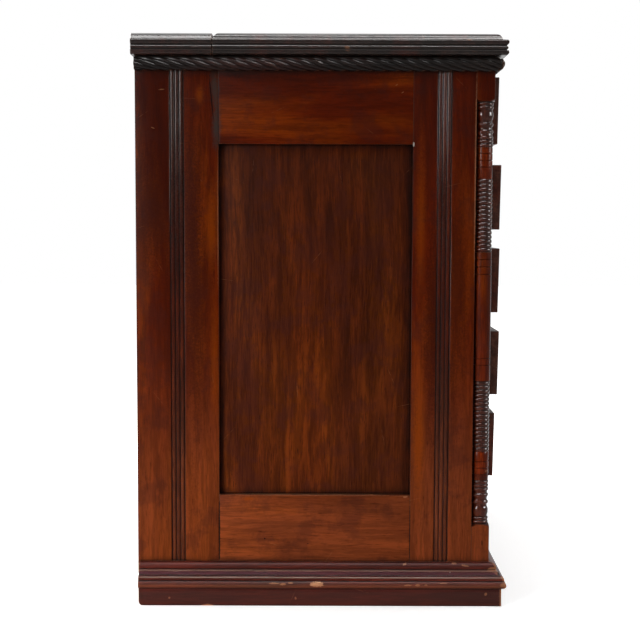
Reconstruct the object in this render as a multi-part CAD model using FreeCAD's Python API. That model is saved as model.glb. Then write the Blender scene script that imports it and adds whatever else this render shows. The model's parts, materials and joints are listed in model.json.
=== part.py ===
import FreeCAD, Part
import math
import os

from FreeCAD import Vector

# A lift-top spool cabinet: panelled sides, turned corner columns, a rope-carved moulding under a
# hinged top, and four drawers below a shallow well. Millimetres. The front faces -Y, +Z is up, and
# the origin is on the floor under the middle of the cabinet.

# Whole cabinet
case_width = 660.0
case_depth = 475.0
total_height = 762.0

# Top boards
top_thickness = 29.0
top_overhang = 15.5
top_back_overhang = 3.4
rear_board_depth = 105.5
lid_joint_gap = 1.2
lid_rest_gap = 0.3
top_bevel_run = 9.0
top_bevel_drop = 6.0
top_shoulder_run = 6.0
top_shoulder_drop = 2.0
edge_bead_height = 4.2
edge_hollow_height = 2.6
edge_reed_height = 4.2
edge_bead_depth = 1.2
edge_hollow_depth = 2.4
edge_reed_setback = 1.2
edge_quirk = 0.4
edge_under_height = 2.8
edge_under_run = 3.2
joint_bevel = 6.0
board_edge_ease = 1.5

# Base
base_height = 57.5
base_projection = 21.5
base_seat_height = 40.0
base_seat_width = 20.0
plinth_projection = 15.5
plinth_height = 23.0
base_torus_height = 10.6
base_cove_height = 7.4
base_fillet = 1.2
base_bead_projection = 10.5
base_bead_top_projection = 4.0
base_back_thickness = 20.0
base_back_inset = 2.2

# Side frames
frame_thickness = 24.0
rear_stile_width = 110.0
front_stile_width = 83.5
side_top_rail_height = 114.5
side_bottom_rail_height = 108.5
panel_recess = 8.0
panel_thickness = 7.8
panel_groove_width = 8.0
panel_groove_depth = 10.0
panel_end_gap = 0.8
reed_count = 3
reed_pitch = 5.8
reed_depth = 2.2
reed_crown_drop = 0.3
reed_edge_bevel = 1.0

# Corner columns
column_top_block = 54.0
column_bottom_block = 64.5
column_pommel_height = 4.3
column_sides = 12
column_radius = 11.9
column_groove_radius = 10.3
column_shaft_radius = 11.4
column_long_shaft_radius = 12.1
column_neck_radius = 9.0
column_end_beads = 2
column_end_bead_pitch = 4.8
column_vase_height = 14.4
column_neck_height = 2.8
column_cove_height = 4.8
column_mid_beads = 3
column_mid_bead_pitch = 5.0
column_short_shaft = 40.5
column_long_beads = 17
column_long_bead_pitch = 5.7

# Front frame
front_post_width = 24.0
front_frame_depth = 32.0
front_setback = 4.0
front_top_rail_height = 21.0
well_rail_height = 26.4
drawer_rail_height = 24.0
rail_housing = 6.0
apron_thickness = 20.0

# Drawer fronts and the false front of the well
drawer_count = 4
well_front_height = 90.0
front_height = 87.8
front_thickness = 22.0
front_proud = 12.0
front_lean = 1.5
front_border = 13.0
front_field_depth = 4.0
drawer_lift = 0.3
drawer_head_gap = 1.5
drawer_side_gap = 1.2
drawer_ajar = [4.6, 3.8, 4.7, 0.0]
drawer_stop_gap = 0.2

# Drawer boxes
drawer_length = 420.0
drawer_side_thickness = 12.0
drawer_side_height = 76.0
drawer_side_rebate = 10.0
drawer_back_thickness = 12.0
drawer_back_inset = 10.0
drawer_back_housing = 4.0
drawer_bottom_thickness = 6.0
drawer_bottom_rise = 8.0
drawer_groove_depth = 5.0
drawer_bottom_gap = 0.3
divider_count = 4
divider_thickness = 5.0
divider_height = 34.0
divider_housing = 3.0

# Flush pulls
pull_spacing = 300.0
pull_plate_length = 64.0
pull_plate_height = 32.0
pull_plate_thickness = 1.2
pull_cup_length = 52.0
pull_cup_height = 24.0
pull_cup_depth = 11.0
pull_wall = 1.2
pull_lip_rise = 2.0

# Runners, stops, boards inside
runner_ledge_thickness = 18.0
runner_ledge_width = 44.0
runner_guide_height = 28.0
stop_length = 40.0
stop_depth = 12.0
stop_height = 6.0
stop_spacing = 360.0
well_bottom_thickness = 10.0
case_bottom_thickness = 14.0
case_bottom_height = 58.0
board_housing = 6.0
back_board_count = 5
back_board_thickness = 12.0
back_board_gap = 0.6
back_board_chamfer = 1.5
back_rebate_width = 10.0
back_edge_gap = 0.3
hinge_rail_depth = 22.0
hinge_rail_height = 30.0

# Rope moulding
rope_radius = 9.4
rope_stand = 1.4
rope_top_gap = 0.7
rope_sides = 12
rope_strand_spacing = 17.5
rope_strand_angle = 30.0
rope_groove_depth = 2.6
rope_groove_width = 6.0

# Butt hinges
hinge_spacing = 420.0
hinge_length = 50.0
hinge_leaf_height = 20.0
hinge_leaf_thickness = 1.5
hinge_knuckle_radius = 3.0
hinge_knuckle_clearance = 0.3
hinge_middle_knuckle = 18.0
hinge_knuckle_gap = 0.3
hinge_pin_radius = 1.5
hinge_pin_clearance = 0.05

# Places worked out from the sizes above
half_width = case_width / 2
y_top_back = (top_back_overhang + case_depth + base_projection) / 2
y_back = y_top_back - top_back_overhang
y_face = y_back - case_depth
z_case_top = total_height - top_thickness
frame_inner = half_width - frame_thickness
y_rear_stile = y_back - rear_stile_width
y_block = y_face + frame_thickness
y_front_stile = y_block + front_stile_width
z_side_top_rail = z_case_top - side_top_rail_height
z_side_bottom_rail = base_seat_height + side_bottom_rail_height
post_inner = frame_inner - front_post_width
y_frame_front = y_face + front_setback
y_frame_back = y_frame_front + front_frame_depth
y_back_boards = y_back - back_board_thickness
y_lid_joint = y_top_back - rear_board_depth - lid_joint_gap / 2
z_hinge = total_height - hinge_knuckle_radius
opening_height = front_height + drawer_lift + drawer_head_gap
z_first_opening = z_case_top - front_top_rail_height
y_front_face = y_face - front_proud
y_front_back = y_front_face + front_thickness
drawer_half_width = post_inner - drawer_side_gap
box_inner = drawer_half_width - drawer_side_thickness


def box(x0, x1, y0, y1, z0, z1):
    """A block between two corners."""
    return Part.makeBox(x1 - x0, y1 - y0, z1 - z0, Vector(x0, y0, z0))


def outline(place, start, steps):
    """A flat face. Each step is a point, or a pair of points for an arc; place puts them in space."""
    edges = []
    here = start
    for step in steps:
        if isinstance(step[0], tuple):
            through, end = step
            edges.append(Part.Arc(place(*here), place(*through), place(*end)).toShape())
        else:
            end = step
            edges.append(Part.LineSegment(place(*here), place(*end)).toShape())
        here = end
    if here != start:
        edges.append(Part.LineSegment(place(*here), place(*start)).toShape())
    return Part.Face(Part.Wire(edges))


def flat_xy(z):
    """Puts outline points (x, y) at height z."""
    return lambda x, y: Vector(x, y, z)


def flat_yz(x):
    """Puts outline points (y, z) at a distance x across the cabinet."""
    return lambda y, z: Vector(x, y, z)


def flat_xz(y):
    """Puts outline points (x, z) at a depth y."""
    return lambda x, z: Vector(x, y, z)


def other_side(shape):
    """The same piece on the right-hand side."""
    return shape.mirror(Vector(0, 0, 0), Vector(1, 0, 0))


def opening_floor(row):
    """Height of the bottom of a front opening. Row 0 is the well's false front, then the drawers."""
    if row == 0:
        return z_first_opening - well_front_height
    z_first_drawer = opening_floor(0) - well_rail_height - opening_height
    return z_first_drawer - (row - 1) * (opening_height + drawer_rail_height)


def write(name, *solids):
    """Writes one named piece, or a group of like pieces."""
    shape = solids[0] if len(solids) == 1 else Part.makeCompound(list(solids))
    shape.exportStep(os.path.join("parts", name + ".step"))


def write_pair(name, solid):
    """Writes a left-hand piece and its right-hand twin."""
    write("left_" + name, solid)
    write("right_" + name, other_side(solid))


# Side frames

def reeded_section(y0, y1):
    """Cross-section of a left stile, with a band of reeds down the middle of its outer face."""
    outer = -half_width
    band_start = (y0 + y1 - reed_count * reed_pitch) / 2
    band_end = band_start + reed_count * reed_pitch
    steps = [(outer, y0), (outer, band_start - reed_edge_bevel), (outer + reed_depth, band_start)]
    for reed in range(reed_count):
        near = band_start + reed * reed_pitch
        crown = (outer + reed_crown_drop, near + reed_pitch / 2)
        steps.append((crown, (outer + reed_depth, near + reed_pitch)))
    steps += [(outer, band_end + reed_edge_bevel), (outer, y1), (-frame_inner, y1)]
    return outline(flat_xy(base_seat_height), (-frame_inner, y0), steps)


def stile(y0, y1):
    """A left stile without its grooves."""
    return reeded_section(y0, y1).extrude(Vector(0, 0, z_case_top - base_seat_height))


def panel_slot(y0, y1, z0, z1):
    """The slot that holds a left panel's edge."""
    outer = -half_width + panel_recess
    return box(outer, outer + panel_groove_width, y0, y1, z0, z1)


def rear_stile(inside_boards):
    body = stile(y_rear_stile, y_back)
    slot = panel_slot(y_rear_stile, y_rear_stile + panel_groove_depth, base_seat_height, z_case_top)
    rebate = box(-frame_inner - back_rebate_width, -frame_inner, y_back_boards, y_back,
                 base_seat_height, z_case_top)
    return body.cut(Part.makeCompound([slot, rebate])).cut(inside_boards)


def front_stile(inside_boards):
    body = stile(y_block, y_front_stile)
    slot = panel_slot(y_front_stile - panel_groove_depth, y_front_stile, base_seat_height, z_case_top)
    return body.cut(slot).cut(inside_boards)


def side_rail(z0, z1, slot_low, slot_high, inside_boards):
    """A left rail with tongues in the stiles. The panel's slot runs from slot_low to slot_high."""
    body = box(-half_width, -frame_inner, y_front_stile, y_rear_stile, z0, z1)
    tongue = panel_slot(y_front_stile - panel_groove_depth, y_rear_stile + panel_groove_depth, z0, z1)
    slot = panel_slot(y_front_stile - panel_groove_depth, y_rear_stile + panel_groove_depth,
                      slot_low, slot_high)
    return body.fuse(tongue).cut(slot).cut(inside_boards).removeSplitter()


def side_panel():
    """A left panel, loose in its slots."""
    reach = panel_groove_depth - panel_end_gap
    middle = -half_width + panel_recess + panel_groove_width / 2
    return box(middle - panel_thickness / 2, middle + panel_thickness / 2,
               y_front_stile - reach, y_rear_stile + reach,
               z_side_bottom_rail - reach, z_side_top_rail + reach)


# Corner columns

def beads(points, z, count, pitch):
    """Adds a row of turned beads below z, and gives the height where the row ends."""
    for bead in range(count):
        points.append((column_groove_radius, z - bead * pitch))
        points.append((column_radius, z - (bead + 0.5) * pitch))
    return z - count * pitch


def column_half(z_start):
    """Turned profile from one block to the start of the long shaft, as radius and height."""
    points = []
    z = beads(points, z_start, column_end_beads, column_end_bead_pitch)
    points.append((column_neck_radius, z))
    points.append((column_radius, z - 0.6 * column_vase_height))
    z -= column_vase_height
    points.append((column_neck_radius, z))
    z = beads(points, z - column_neck_height, 1, column_mid_bead_pitch)
    points.append((column_groove_radius, z))
    points.append((column_neck_radius, z - column_cove_height / 2))
    z = beads(points, z - column_cove_height, 1, column_mid_bead_pitch)
    points.append((column_groove_radius, z))
    z = beads(points, z - column_neck_height, column_mid_beads, column_mid_bead_pitch)
    points.append((column_shaft_radius, z))
    z -= column_short_shaft
    points.append((column_shaft_radius, z))
    z = beads(points, z - column_neck_height / 2, column_long_beads, column_long_bead_pitch)
    points.append((column_long_shaft_radius, z))
    return points


def ring(x, y, z, radius):
    """One station of a turned form, with few sides because the beads repeat so often."""
    corners = []
    for corner in range(column_sides + 1):
        turn = 2 * math.pi * (corner % column_sides + 0.5) / column_sides
        corners.append(Vector(x + radius * math.cos(turn), y + radius * math.sin(turn), z))
    return Part.makePolygon(corners)


def corner_column():
    """A left column: square blocks at both ends of one turned shaft."""
    x_axis = -half_width + frame_thickness / 2
    y_axis = y_face + frame_thickness / 2
    z_upper = z_case_top - column_top_block
    z_lower = base_seat_height + column_bottom_block
    upper = column_half(z_upper - column_pommel_height)
    lower = [(radius, z_upper + z_lower - z) for radius, z in reversed(upper)]
    ends = [(frame_thickness, z_case_top), (frame_thickness, z_upper)]
    feet = [(frame_thickness, z_lower), (frame_thickness, base_seat_height)]
    stations = [ring(x_axis, y_axis, z, radius) for radius, z in ends + upper + lower + feet]
    turned = Part.makeLoft(stations, True, True)
    blank = box(-half_width, -frame_inner, y_face, y_block, base_seat_height, z_case_top)
    return blank.common(turned)


# Front frame

def drawer_rail(row):
    """The rail under a front opening, housed in both posts."""
    z1 = opening_floor(row)
    height = well_rail_height if row == 0 else drawer_rail_height
    reach = post_inner + rail_housing
    return box(-reach, reach, y_frame_front, y_frame_back, z1 - height, z1)


def front_apron():
    """The fixed board between the lowest rail and the base."""
    reach = post_inner + rail_housing
    z1 = opening_floor(drawer_count) - drawer_rail_height
    return box(-reach, reach, y_frame_front, y_frame_front + apron_thickness, base_seat_height, z1)


def front_top_rail():
    """The rail behind the rope moulding, between the two column blocks."""
    return box(-frame_inner, frame_inner, y_face, y_frame_back, z_first_opening, z_case_top)


def front_post(rails):
    """A left post beside the drawers, with a housing for every rail."""
    post = box(-frame_inner, -post_inner, y_frame_front, y_frame_back, base_seat_height, z_first_opening)
    return post.cut(Part.makeCompound(rails))


def raised_front(half_length, z0, height, shift):
    """A board whose face leans out at the top and has a sunk field inside a border."""
    y0 = y_front_face + shift
    y1 = y_front_back + shift
    section = outline(flat_yz(-half_length), (y0 + front_lean, z0),
                      [(y1, z0), (y1, z0 + height), (y0, z0 + height)])
    board = section.extrude(Vector(2 * half_length, 0, 0))
    field = outline(flat_yz(-half_length + front_border),
                    (y0, z0 + front_border),
                    [(y0 + front_lean + front_field_depth, z0 + front_border),
                     (y0 + front_lean + front_field_depth, z0 + height - front_border),
                     (y0 - front_lean, z0 + height - front_border)])
    return board.cut(field.extrude(Vector(2 * (half_length - front_border), 0, 0)))


def field_face():
    """Depth of the sunk field of a closed front."""
    return y_front_face + front_lean + front_field_depth


# Drawers

def centred_block(x, z, length, height, y0, y1):
    """A block centred on (x, z), from y0 back to y1."""
    return box(x - length / 2, x + length / 2, y0, y1, z - height / 2, z + height / 2)


def pull_outside(x, z, shift):
    """The space that a flush pull takes out of a drawer front."""
    y0 = field_face() + shift
    plate = centred_block(x, z, pull_plate_length, pull_plate_height, y0, y0 + pull_plate_thickness)
    cup = centred_block(x, z, pull_cup_length, pull_cup_height, y0, y0 + pull_cup_depth)
    return plate.fuse(cup)


def pull(x, z, shift):
    """A brass cup let into the front, with a lip across its upper half to hook the fingers behind."""
    y0 = field_face() + shift
    hollow = centred_block(x, z, pull_cup_length - 2 * pull_wall, pull_cup_height - 2 * pull_wall,
                           y0, y0 + pull_cup_depth - pull_wall)
    lip = box(x - pull_cup_length / 2, x + pull_cup_length / 2, y0, y0 + pull_plate_thickness,
              z + pull_lip_rise, z + pull_cup_height / 2)
    return pull_outside(x, z, shift).cut(hollow.cut(lip)).removeSplitter()


def write_drawer(number):
    """Writes every piece of one drawer."""
    shift = -drawer_ajar[number - 1]
    z0 = opening_floor(number) + drawer_lift
    y_inside = y_front_back + shift
    y_end = y_front_face + shift + drawer_length
    y_back_front = y_end - drawer_back_inset - drawer_back_thickness
    z_bottom = z0 + drawer_bottom_rise
    z_floor = z_bottom + drawer_bottom_thickness
    pull_places = [(way * pull_spacing / 2, z0 + front_height / 2) for way in (-1, 1)]

    clear_span = 2 * box_inner
    channel = (clear_span - divider_count * divider_thickness) / (divider_count + 1)
    dividers = []
    for place in range(divider_count):
        x0 = -box_inner + (place + 1) * channel + place * divider_thickness
        dividers.append(box(x0, x0 + divider_thickness, y_inside - divider_housing,
                            y_back_front + divider_housing, z_floor, z_floor + divider_height))
    divider_group = Part.makeCompound(dividers)

    sides = []
    for way in (-1, 1):
        x_out, x_in = sorted((way * drawer_half_width, way * box_inner))
        sides.append(box(x_out, x_in, y_inside - drawer_side_rebate, y_end, z0, z0 + drawer_side_height))
    bottom_reach = box_inner + drawer_groove_depth
    groove = box(-bottom_reach, bottom_reach, y_inside - drawer_groove_depth, y_end, z_bottom, z_floor)
    back_reach = box_inner + drawer_back_housing
    back = box(-back_reach, back_reach, y_back_front, y_back_front + drawer_back_thickness,
               z_floor, z0 + drawer_side_height)
    bottom = box(-bottom_reach + drawer_bottom_gap, bottom_reach - drawer_bottom_gap,
                 y_inside - drawer_groove_depth + drawer_bottom_gap, y_end, z_bottom, z_floor)

    front = raised_front(drawer_half_width, z0, front_height, shift)
    cuts = sides + dividers + [groove] + [pull_outside(x, z, shift) for x, z in pull_places]
    prefix = f"drawer_{number}_"
    write(prefix + "front", front.cut(Part.makeCompound(cuts)))
    write(prefix + "sides", *[side.cut(Part.makeCompound([groove, back])) for side in sides])
    write(prefix + "back", back.cut(divider_group))
    write(prefix + "bottom", bottom)
    write(prefix + "dividers", *dividers)
    write(prefix + "pulls", *[pull(x, z, shift) for x, z in pull_places])


def runner(row):
    """A left runner: a ledge under the drawer side and a guide beside it."""
    z0 = opening_floor(row)
    ledge = box(-frame_inner, -frame_inner + runner_ledge_width, y_frame_back, y_back_boards,
                z0 - runner_ledge_thickness, z0)
    guide = box(-frame_inner, -post_inner, y_frame_back, y_back_boards, z0, z0 + runner_guide_height)
    return ledge.fuse(guide).removeSplitter()


def drawer_stop(row, way):
    """A block on a rail that meets the back of a closed drawer front."""
    z0 = opening_floor(row)
    x0 = way * stop_spacing / 2 - stop_length / 2
    y0 = y_front_back + drawer_stop_gap
    return box(x0, x0 + stop_length, y0, y0 + stop_depth, z0, z0 + stop_height)


# Boards inside and behind

def well_bottom():
    reach = frame_inner + board_housing
    z1 = opening_floor(0)
    return box(-reach, reach, y_frame_back, y_back_boards, z1 - well_bottom_thickness, z1)


def case_bottom():
    reach = frame_inner + board_housing
    return box(-reach, reach, y_frame_back, y_back_boards,
               case_bottom_height, case_bottom_height + case_bottom_thickness)


def back_boards():
    """Upright boards in the rebates of the rear stiles, chamfered where they meet."""
    reach = frame_inner + back_rebate_width - back_edge_gap
    width = (2 * reach - (back_board_count - 1) * back_board_gap) / back_board_count
    boards = []
    for place in range(back_board_count):
        x0 = -reach + place * (width + back_board_gap)
        x1 = x0 + width
        section = outline(flat_xy(base_seat_height), (x0, y_back_boards),
                          [(x1, y_back_boards), (x1, y_back - back_board_chamfer),
                           (x1 - back_board_chamfer, y_back), (x0 + back_board_chamfer, y_back),
                           (x0, y_back - back_board_chamfer)])
        boards.append(section.extrude(Vector(0, 0, z_case_top - base_seat_height)))
    return boards


def hinge_rail():
    """The rail under the front edge of the fixed top board."""
    y0 = y_lid_joint + lid_joint_gap / 2
    return box(-frame_inner, frame_inner, y0, y0 + hinge_rail_depth,
               z_case_top - hinge_rail_height, z_case_top)


# Top boards

def moulded_edge(nose, way, z_bottom):
    """Outline steps of a top board's edge, from the top down. way is +1 where the nose faces +."""
    def at(inward, drop):
        return (nose - way * inward, total_height - drop)

    shoulder = edge_bead_depth + top_shoulder_run
    rounding = 1 - math.sqrt(0.5)
    bead_top = top_bevel_drop + top_shoulder_drop
    bead_end = bead_top + edge_bead_height
    reed_in = edge_reed_setback + edge_quirk
    reed_top = bead_end + edge_hollow_height
    reed_end = reed_top + edge_reed_height
    low_bead_top = reed_end + edge_hollow_height
    underside = total_height - z_bottom
    low_bead_end = underside - edge_under_height
    return [
        at(shoulder + top_bevel_run, 0.0),
        (at(shoulder + rounding * top_bevel_run, rounding * top_bevel_drop), at(shoulder, top_bevel_drop)),
        at(edge_bead_depth, bead_top),
        (at(0.0, (bead_top + bead_end) / 2), at(edge_bead_depth, bead_end)),
        at(edge_hollow_depth, (bead_end + reed_top) / 2),
        at(reed_in, reed_top),
        (at(edge_reed_setback, (reed_top + reed_end) / 2), at(reed_in, reed_end)),
        at(edge_hollow_depth, (reed_end + low_bead_top) / 2),
        at(edge_bead_depth, low_bead_top),
        (at(0.0, (low_bead_top + low_bead_end) / 2), at(edge_bead_depth, low_bead_end)),
        at(edge_bead_depth + edge_under_run, underside),
    ]


def backwards(start, steps):
    """The same outline steps run from their end to their start."""
    places = [start] + [step[1] if isinstance(step[0], tuple) else step for step in steps]
    turned = []
    for place, step in reversed(list(zip(places[:-1], steps))):
        turned.append((step[0], place) if isinstance(step[0], tuple) else place)
    return places[-1], turned


def across_section(y0, y1, z_bottom):
    """A top board moulded along both ends, before its front and back are shaped."""
    reach = half_width + top_overhang
    right = moulded_edge(reach, 1, z_bottom)
    left = moulded_edge(-reach, -1, z_bottom)
    left_start, left_up = backwards(left[0], left[1:])
    face = outline(flat_xz(y0), right[0], right[1:] + [left_start] + left_up)
    return face.extrude(Vector(0, y1 - y0, 0))


def along_section(start, steps):
    """A board with a section of (y, z) that runs the whole width of the top."""
    reach = half_width + top_overhang
    return outline(flat_yz(-reach), start, steps).extrude(Vector(2 * reach, 0, 0))


def hinge_places():
    """Middle of each hinge across the cabinet."""
    return [-hinge_spacing / 2, hinge_spacing / 2]


def hinge_room(way):
    """The wood taken away for the leaves and knuckles. way is -1 on the lid and +1 on the fixed board."""
    rooms = []
    edge = y_lid_joint + way * lid_joint_gap / 2
    y0, y1 = sorted((edge, edge + way * hinge_leaf_thickness))
    for x in hinge_places():
        rooms.append(box(x - hinge_length / 2, x + hinge_length / 2, y0, y1,
                         z_hinge - hinge_leaf_height, total_height))
        rooms.append(Part.makeCylinder(hinge_knuckle_radius + hinge_knuckle_clearance, hinge_length,
                                       Vector(x - hinge_length / 2, y_lid_joint, z_hinge),
                                       Vector(1, 0, 0)))
    return Part.makeCompound(rooms)


def lid_board():
    """The hinged top, moulded on three sides and bevelled along the joint."""
    y0 = y_face - top_overhang
    y1 = y_lid_joint - lid_joint_gap / 2
    z_bottom = z_case_top + lid_rest_gap
    front = moulded_edge(y0, -1, z_bottom)
    steps = front[1:] + [(y1, z_bottom), (y1, total_height - joint_bevel),
                         (y1 - joint_bevel, total_height)]
    board = across_section(y0, y1, z_bottom).common(along_section(front[0], steps))
    return board.cut(hinge_room(-1))


def rear_top_board():
    """The fixed strip behind the lid, with eased edges along its length."""
    y0 = y_lid_joint + lid_joint_gap / 2
    ease = board_edge_ease
    steps = [
        (y_top_back - ease, total_height),
        (y_top_back, total_height - ease),
        (y_top_back, z_case_top + ease),
        (y_top_back - ease, z_case_top),
        (y0, z_case_top),
        (y0, total_height - ease),
    ]
    section = along_section((y0 + ease, total_height), steps)
    board = across_section(y0, y_top_back, z_case_top).common(section)
    return board.cut(hinge_room(1))


# Hinges

def leaf(x, way):
    """The plate of one hinge leaf. way is -1 on the lid and +1 on the fixed board."""
    edge = y_lid_joint + way * lid_joint_gap / 2
    y0, y1 = sorted((edge, edge + way * hinge_leaf_thickness))
    return box(x - hinge_length / 2, x + hinge_length / 2, y0, y1, z_hinge - hinge_leaf_height, z_hinge)


def knuckle(x0, x1):
    """A length of knuckle round the pin."""
    return Part.makeCylinder(hinge_knuckle_radius, x1 - x0, Vector(x0, y_lid_joint, z_hinge),
                             Vector(1, 0, 0))


def pin_hole(x):
    return Part.makeCylinder(hinge_pin_radius + hinge_pin_clearance, hinge_length,
                             Vector(x - hinge_length / 2, y_lid_joint, z_hinge), Vector(1, 0, 0))


def lid_leaf(x):
    """The leaf that turns with the lid: one knuckle in the middle."""
    half = hinge_middle_knuckle / 2
    keep_off = half + hinge_knuckle_gap
    room = hinge_knuckle_radius + hinge_knuckle_clearance
    plate = leaf(x, -1)
    for x0, x1 in ((x - hinge_length / 2, x - keep_off + hinge_knuckle_gap),
                   (x + keep_off - hinge_knuckle_gap, x + hinge_length / 2)):
        plate = plate.cut(Part.makeCylinder(room, x1 - x0, Vector(x0, y_lid_joint, z_hinge),
                                            Vector(1, 0, 0)))
    return plate.fuse(knuckle(x - half, x + half)).cut(pin_hole(x)).removeSplitter()


def case_leaf(x):
    """The leaf on the fixed board: a knuckle at each end."""
    keep_off = hinge_middle_knuckle / 2 + hinge_knuckle_gap
    room = hinge_knuckle_radius + hinge_knuckle_clearance
    plate = leaf(x, 1).cut(Part.makeCylinder(room, 2 * keep_off, Vector(x - keep_off, y_lid_joint, z_hinge),
                                             Vector(1, 0, 0)))
    ends = knuckle(x - hinge_length / 2, x - keep_off).fuse(knuckle(x + keep_off, x + hinge_length / 2))
    return plate.fuse(ends).cut(pin_hole(x)).removeSplitter()


def hinge_pin(x):
    return Part.makeCylinder(hinge_pin_radius, hinge_length,
                             Vector(x - hinge_length / 2, y_lid_joint, z_hinge), Vector(1, 0, 0))


# Mouldings mitred round the front corners

def front_mitre(outward, inward, z0, z1):
    """The room of a front moulding between its two mitres."""
    x_out = half_width + outward
    x_in = half_width - inward
    face = outline(flat_xy(z0), (-x_out, y_face - outward),
                   [(x_out, y_face - outward), (x_in, y_face + inward), (-x_in, y_face + inward)])
    return face.extrude(Vector(0, 0, z1 - z0))


def left_mitre(outward, inward, z0, z1):
    """The room of a left moulding from its mitre to the back."""
    x_out = -half_width - outward
    x_in = -half_width + inward
    face = outline(flat_xy(z0), (x_out, y_face - outward),
                   [(x_in, y_face + inward), (x_in, y_back), (x_out, y_back)])
    return face.extrude(Vector(0, 0, z1 - z0))


def base_steps(face, way):
    """Outline steps of the base moulding from its inner foot. way points outwards."""
    def at(outward, z):
        return (face + way * outward, z)

    z_torus = plinth_height + base_fillet
    z_step = z_torus + base_torus_height
    z_cove = z_step + 4 * base_fillet
    z_bead = z_cove + base_cove_height
    torus_foot = plinth_projection + base_fillet
    torus_head = base_projection - 3 * base_fillet
    cove_foot = torus_head - 2 * base_fillet
    bead_foot = base_bead_projection - 1.5 * base_fillet
    bead_start = z_bead + 3 * base_fillet
    start = at(-base_seat_width, 0.0)
    steps = [
        at(plinth_projection, 0.0),
        at(plinth_projection, plinth_height),
        at(torus_foot, z_torus),
        (at(base_projection, (z_torus + z_step) / 2), at(torus_head, z_step)),
        at(torus_head, z_step + 2 * base_fillet),
        at(cove_foot, z_cove),
        (at((cove_foot + 2 * base_bead_projection) / 3, z_cove + base_cove_height / 3),
         at(base_bead_projection, z_bead)),
        at(bead_foot, bead_start),
        (at((2 * bead_foot + base_bead_top_projection) / 3 + base_fillet / 2,
            (bead_start + 2 * base_height) / 3),
         at(base_bead_top_projection, base_height)),
        at(0.0, base_height),
        at(0.0, base_seat_height),
        at(-base_seat_width, base_seat_height),
    ]
    return start, steps


def base_front():
    reach = half_width + base_projection
    start, steps = base_steps(y_face, -1)
    run = outline(flat_yz(-reach), start, steps).extrude(Vector(2 * reach, 0, 0))
    return run.common(front_mitre(base_projection, base_seat_width, 0.0, base_height))


def base_left():
    start, steps = base_steps(-half_width, -1)
    y0 = y_face - base_projection
    run = outline(flat_xz(y0), start, steps).extrude(Vector(0, y_back - base_back_inset - y0, 0))
    return run.common(left_mitre(base_projection, base_seat_width, 0.0, base_height))


def base_back():
    """The plain board that closes the base behind."""
    reach = half_width - base_seat_width
    y1 = y_back - base_back_inset
    return box(-reach, reach, y1 - base_back_thickness, y1, 0.0, base_seat_height)


def rope_run(length):
    """A rope moulding along +X from the origin, standing out towards -Y, with its back flat at y 0."""
    z_axis = z_case_top - rope_top_gap - rope_radius
    corners = []
    for corner in range(rope_sides + 1):
        turn = 2 * math.pi * (corner % rope_sides + 0.5) / rope_sides
        outward_at = rope_stand + rope_radius * math.cos(turn)
        corners.append(Vector(0, -outward_at, z_axis + rope_radius * math.sin(turn)))
    rod = Part.Face(Part.makePolygon(corners)).extrude(Vector(length, 0, 0))
    rod = rod.cut(box(0, length, 0, rope_radius, z_axis - rope_radius, z_axis + rope_radius))
    lean = math.radians(rope_strand_angle)
    along = Vector(math.cos(lean), 0, -math.sin(lean))
    across = Vector(math.sin(lean), 0, math.cos(lean))
    outward = Vector(0, -1, 0)
    reach = 2 * rope_radius
    count = int(length / rope_strand_spacing) + 1
    grooves = []
    for strand in range(count):
        x = (length - (count - 1) * rope_strand_spacing) / 2 + strand * rope_strand_spacing
        front = Vector(x, -rope_stand - rope_radius, z_axis) - along * reach
        root = front - outward * rope_groove_depth
        half = across * (rope_groove_width / 2)
        high = outward * rope_groove_depth
        wire = Part.makePolygon([root, front + half, front + half + high, front - half + high,
                                 front - half, root])
        grooves.append(Part.Face(wire).extrude(along * (2 * reach)))
    return rod.cut(Part.makeCompound(grooves))


def rope_front():
    outward = rope_stand + rope_radius
    run = rope_run(case_width + 2 * outward)
    run.translate(Vector(-half_width - outward, y_face, 0))
    return run.common(front_mitre(outward, 0.0, z_case_top - 2 * outward, z_case_top))


def rope_left():
    outward = rope_stand + rope_radius
    run = rope_run(case_depth + outward)
    run.rotate(Vector(0, 0, 0), Vector(0, 0, 1), -90)
    run.translate(Vector(-half_width, y_back, 0))
    return run.common(left_mitre(outward, 0.0, z_case_top - 2 * outward, z_case_top))


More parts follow.
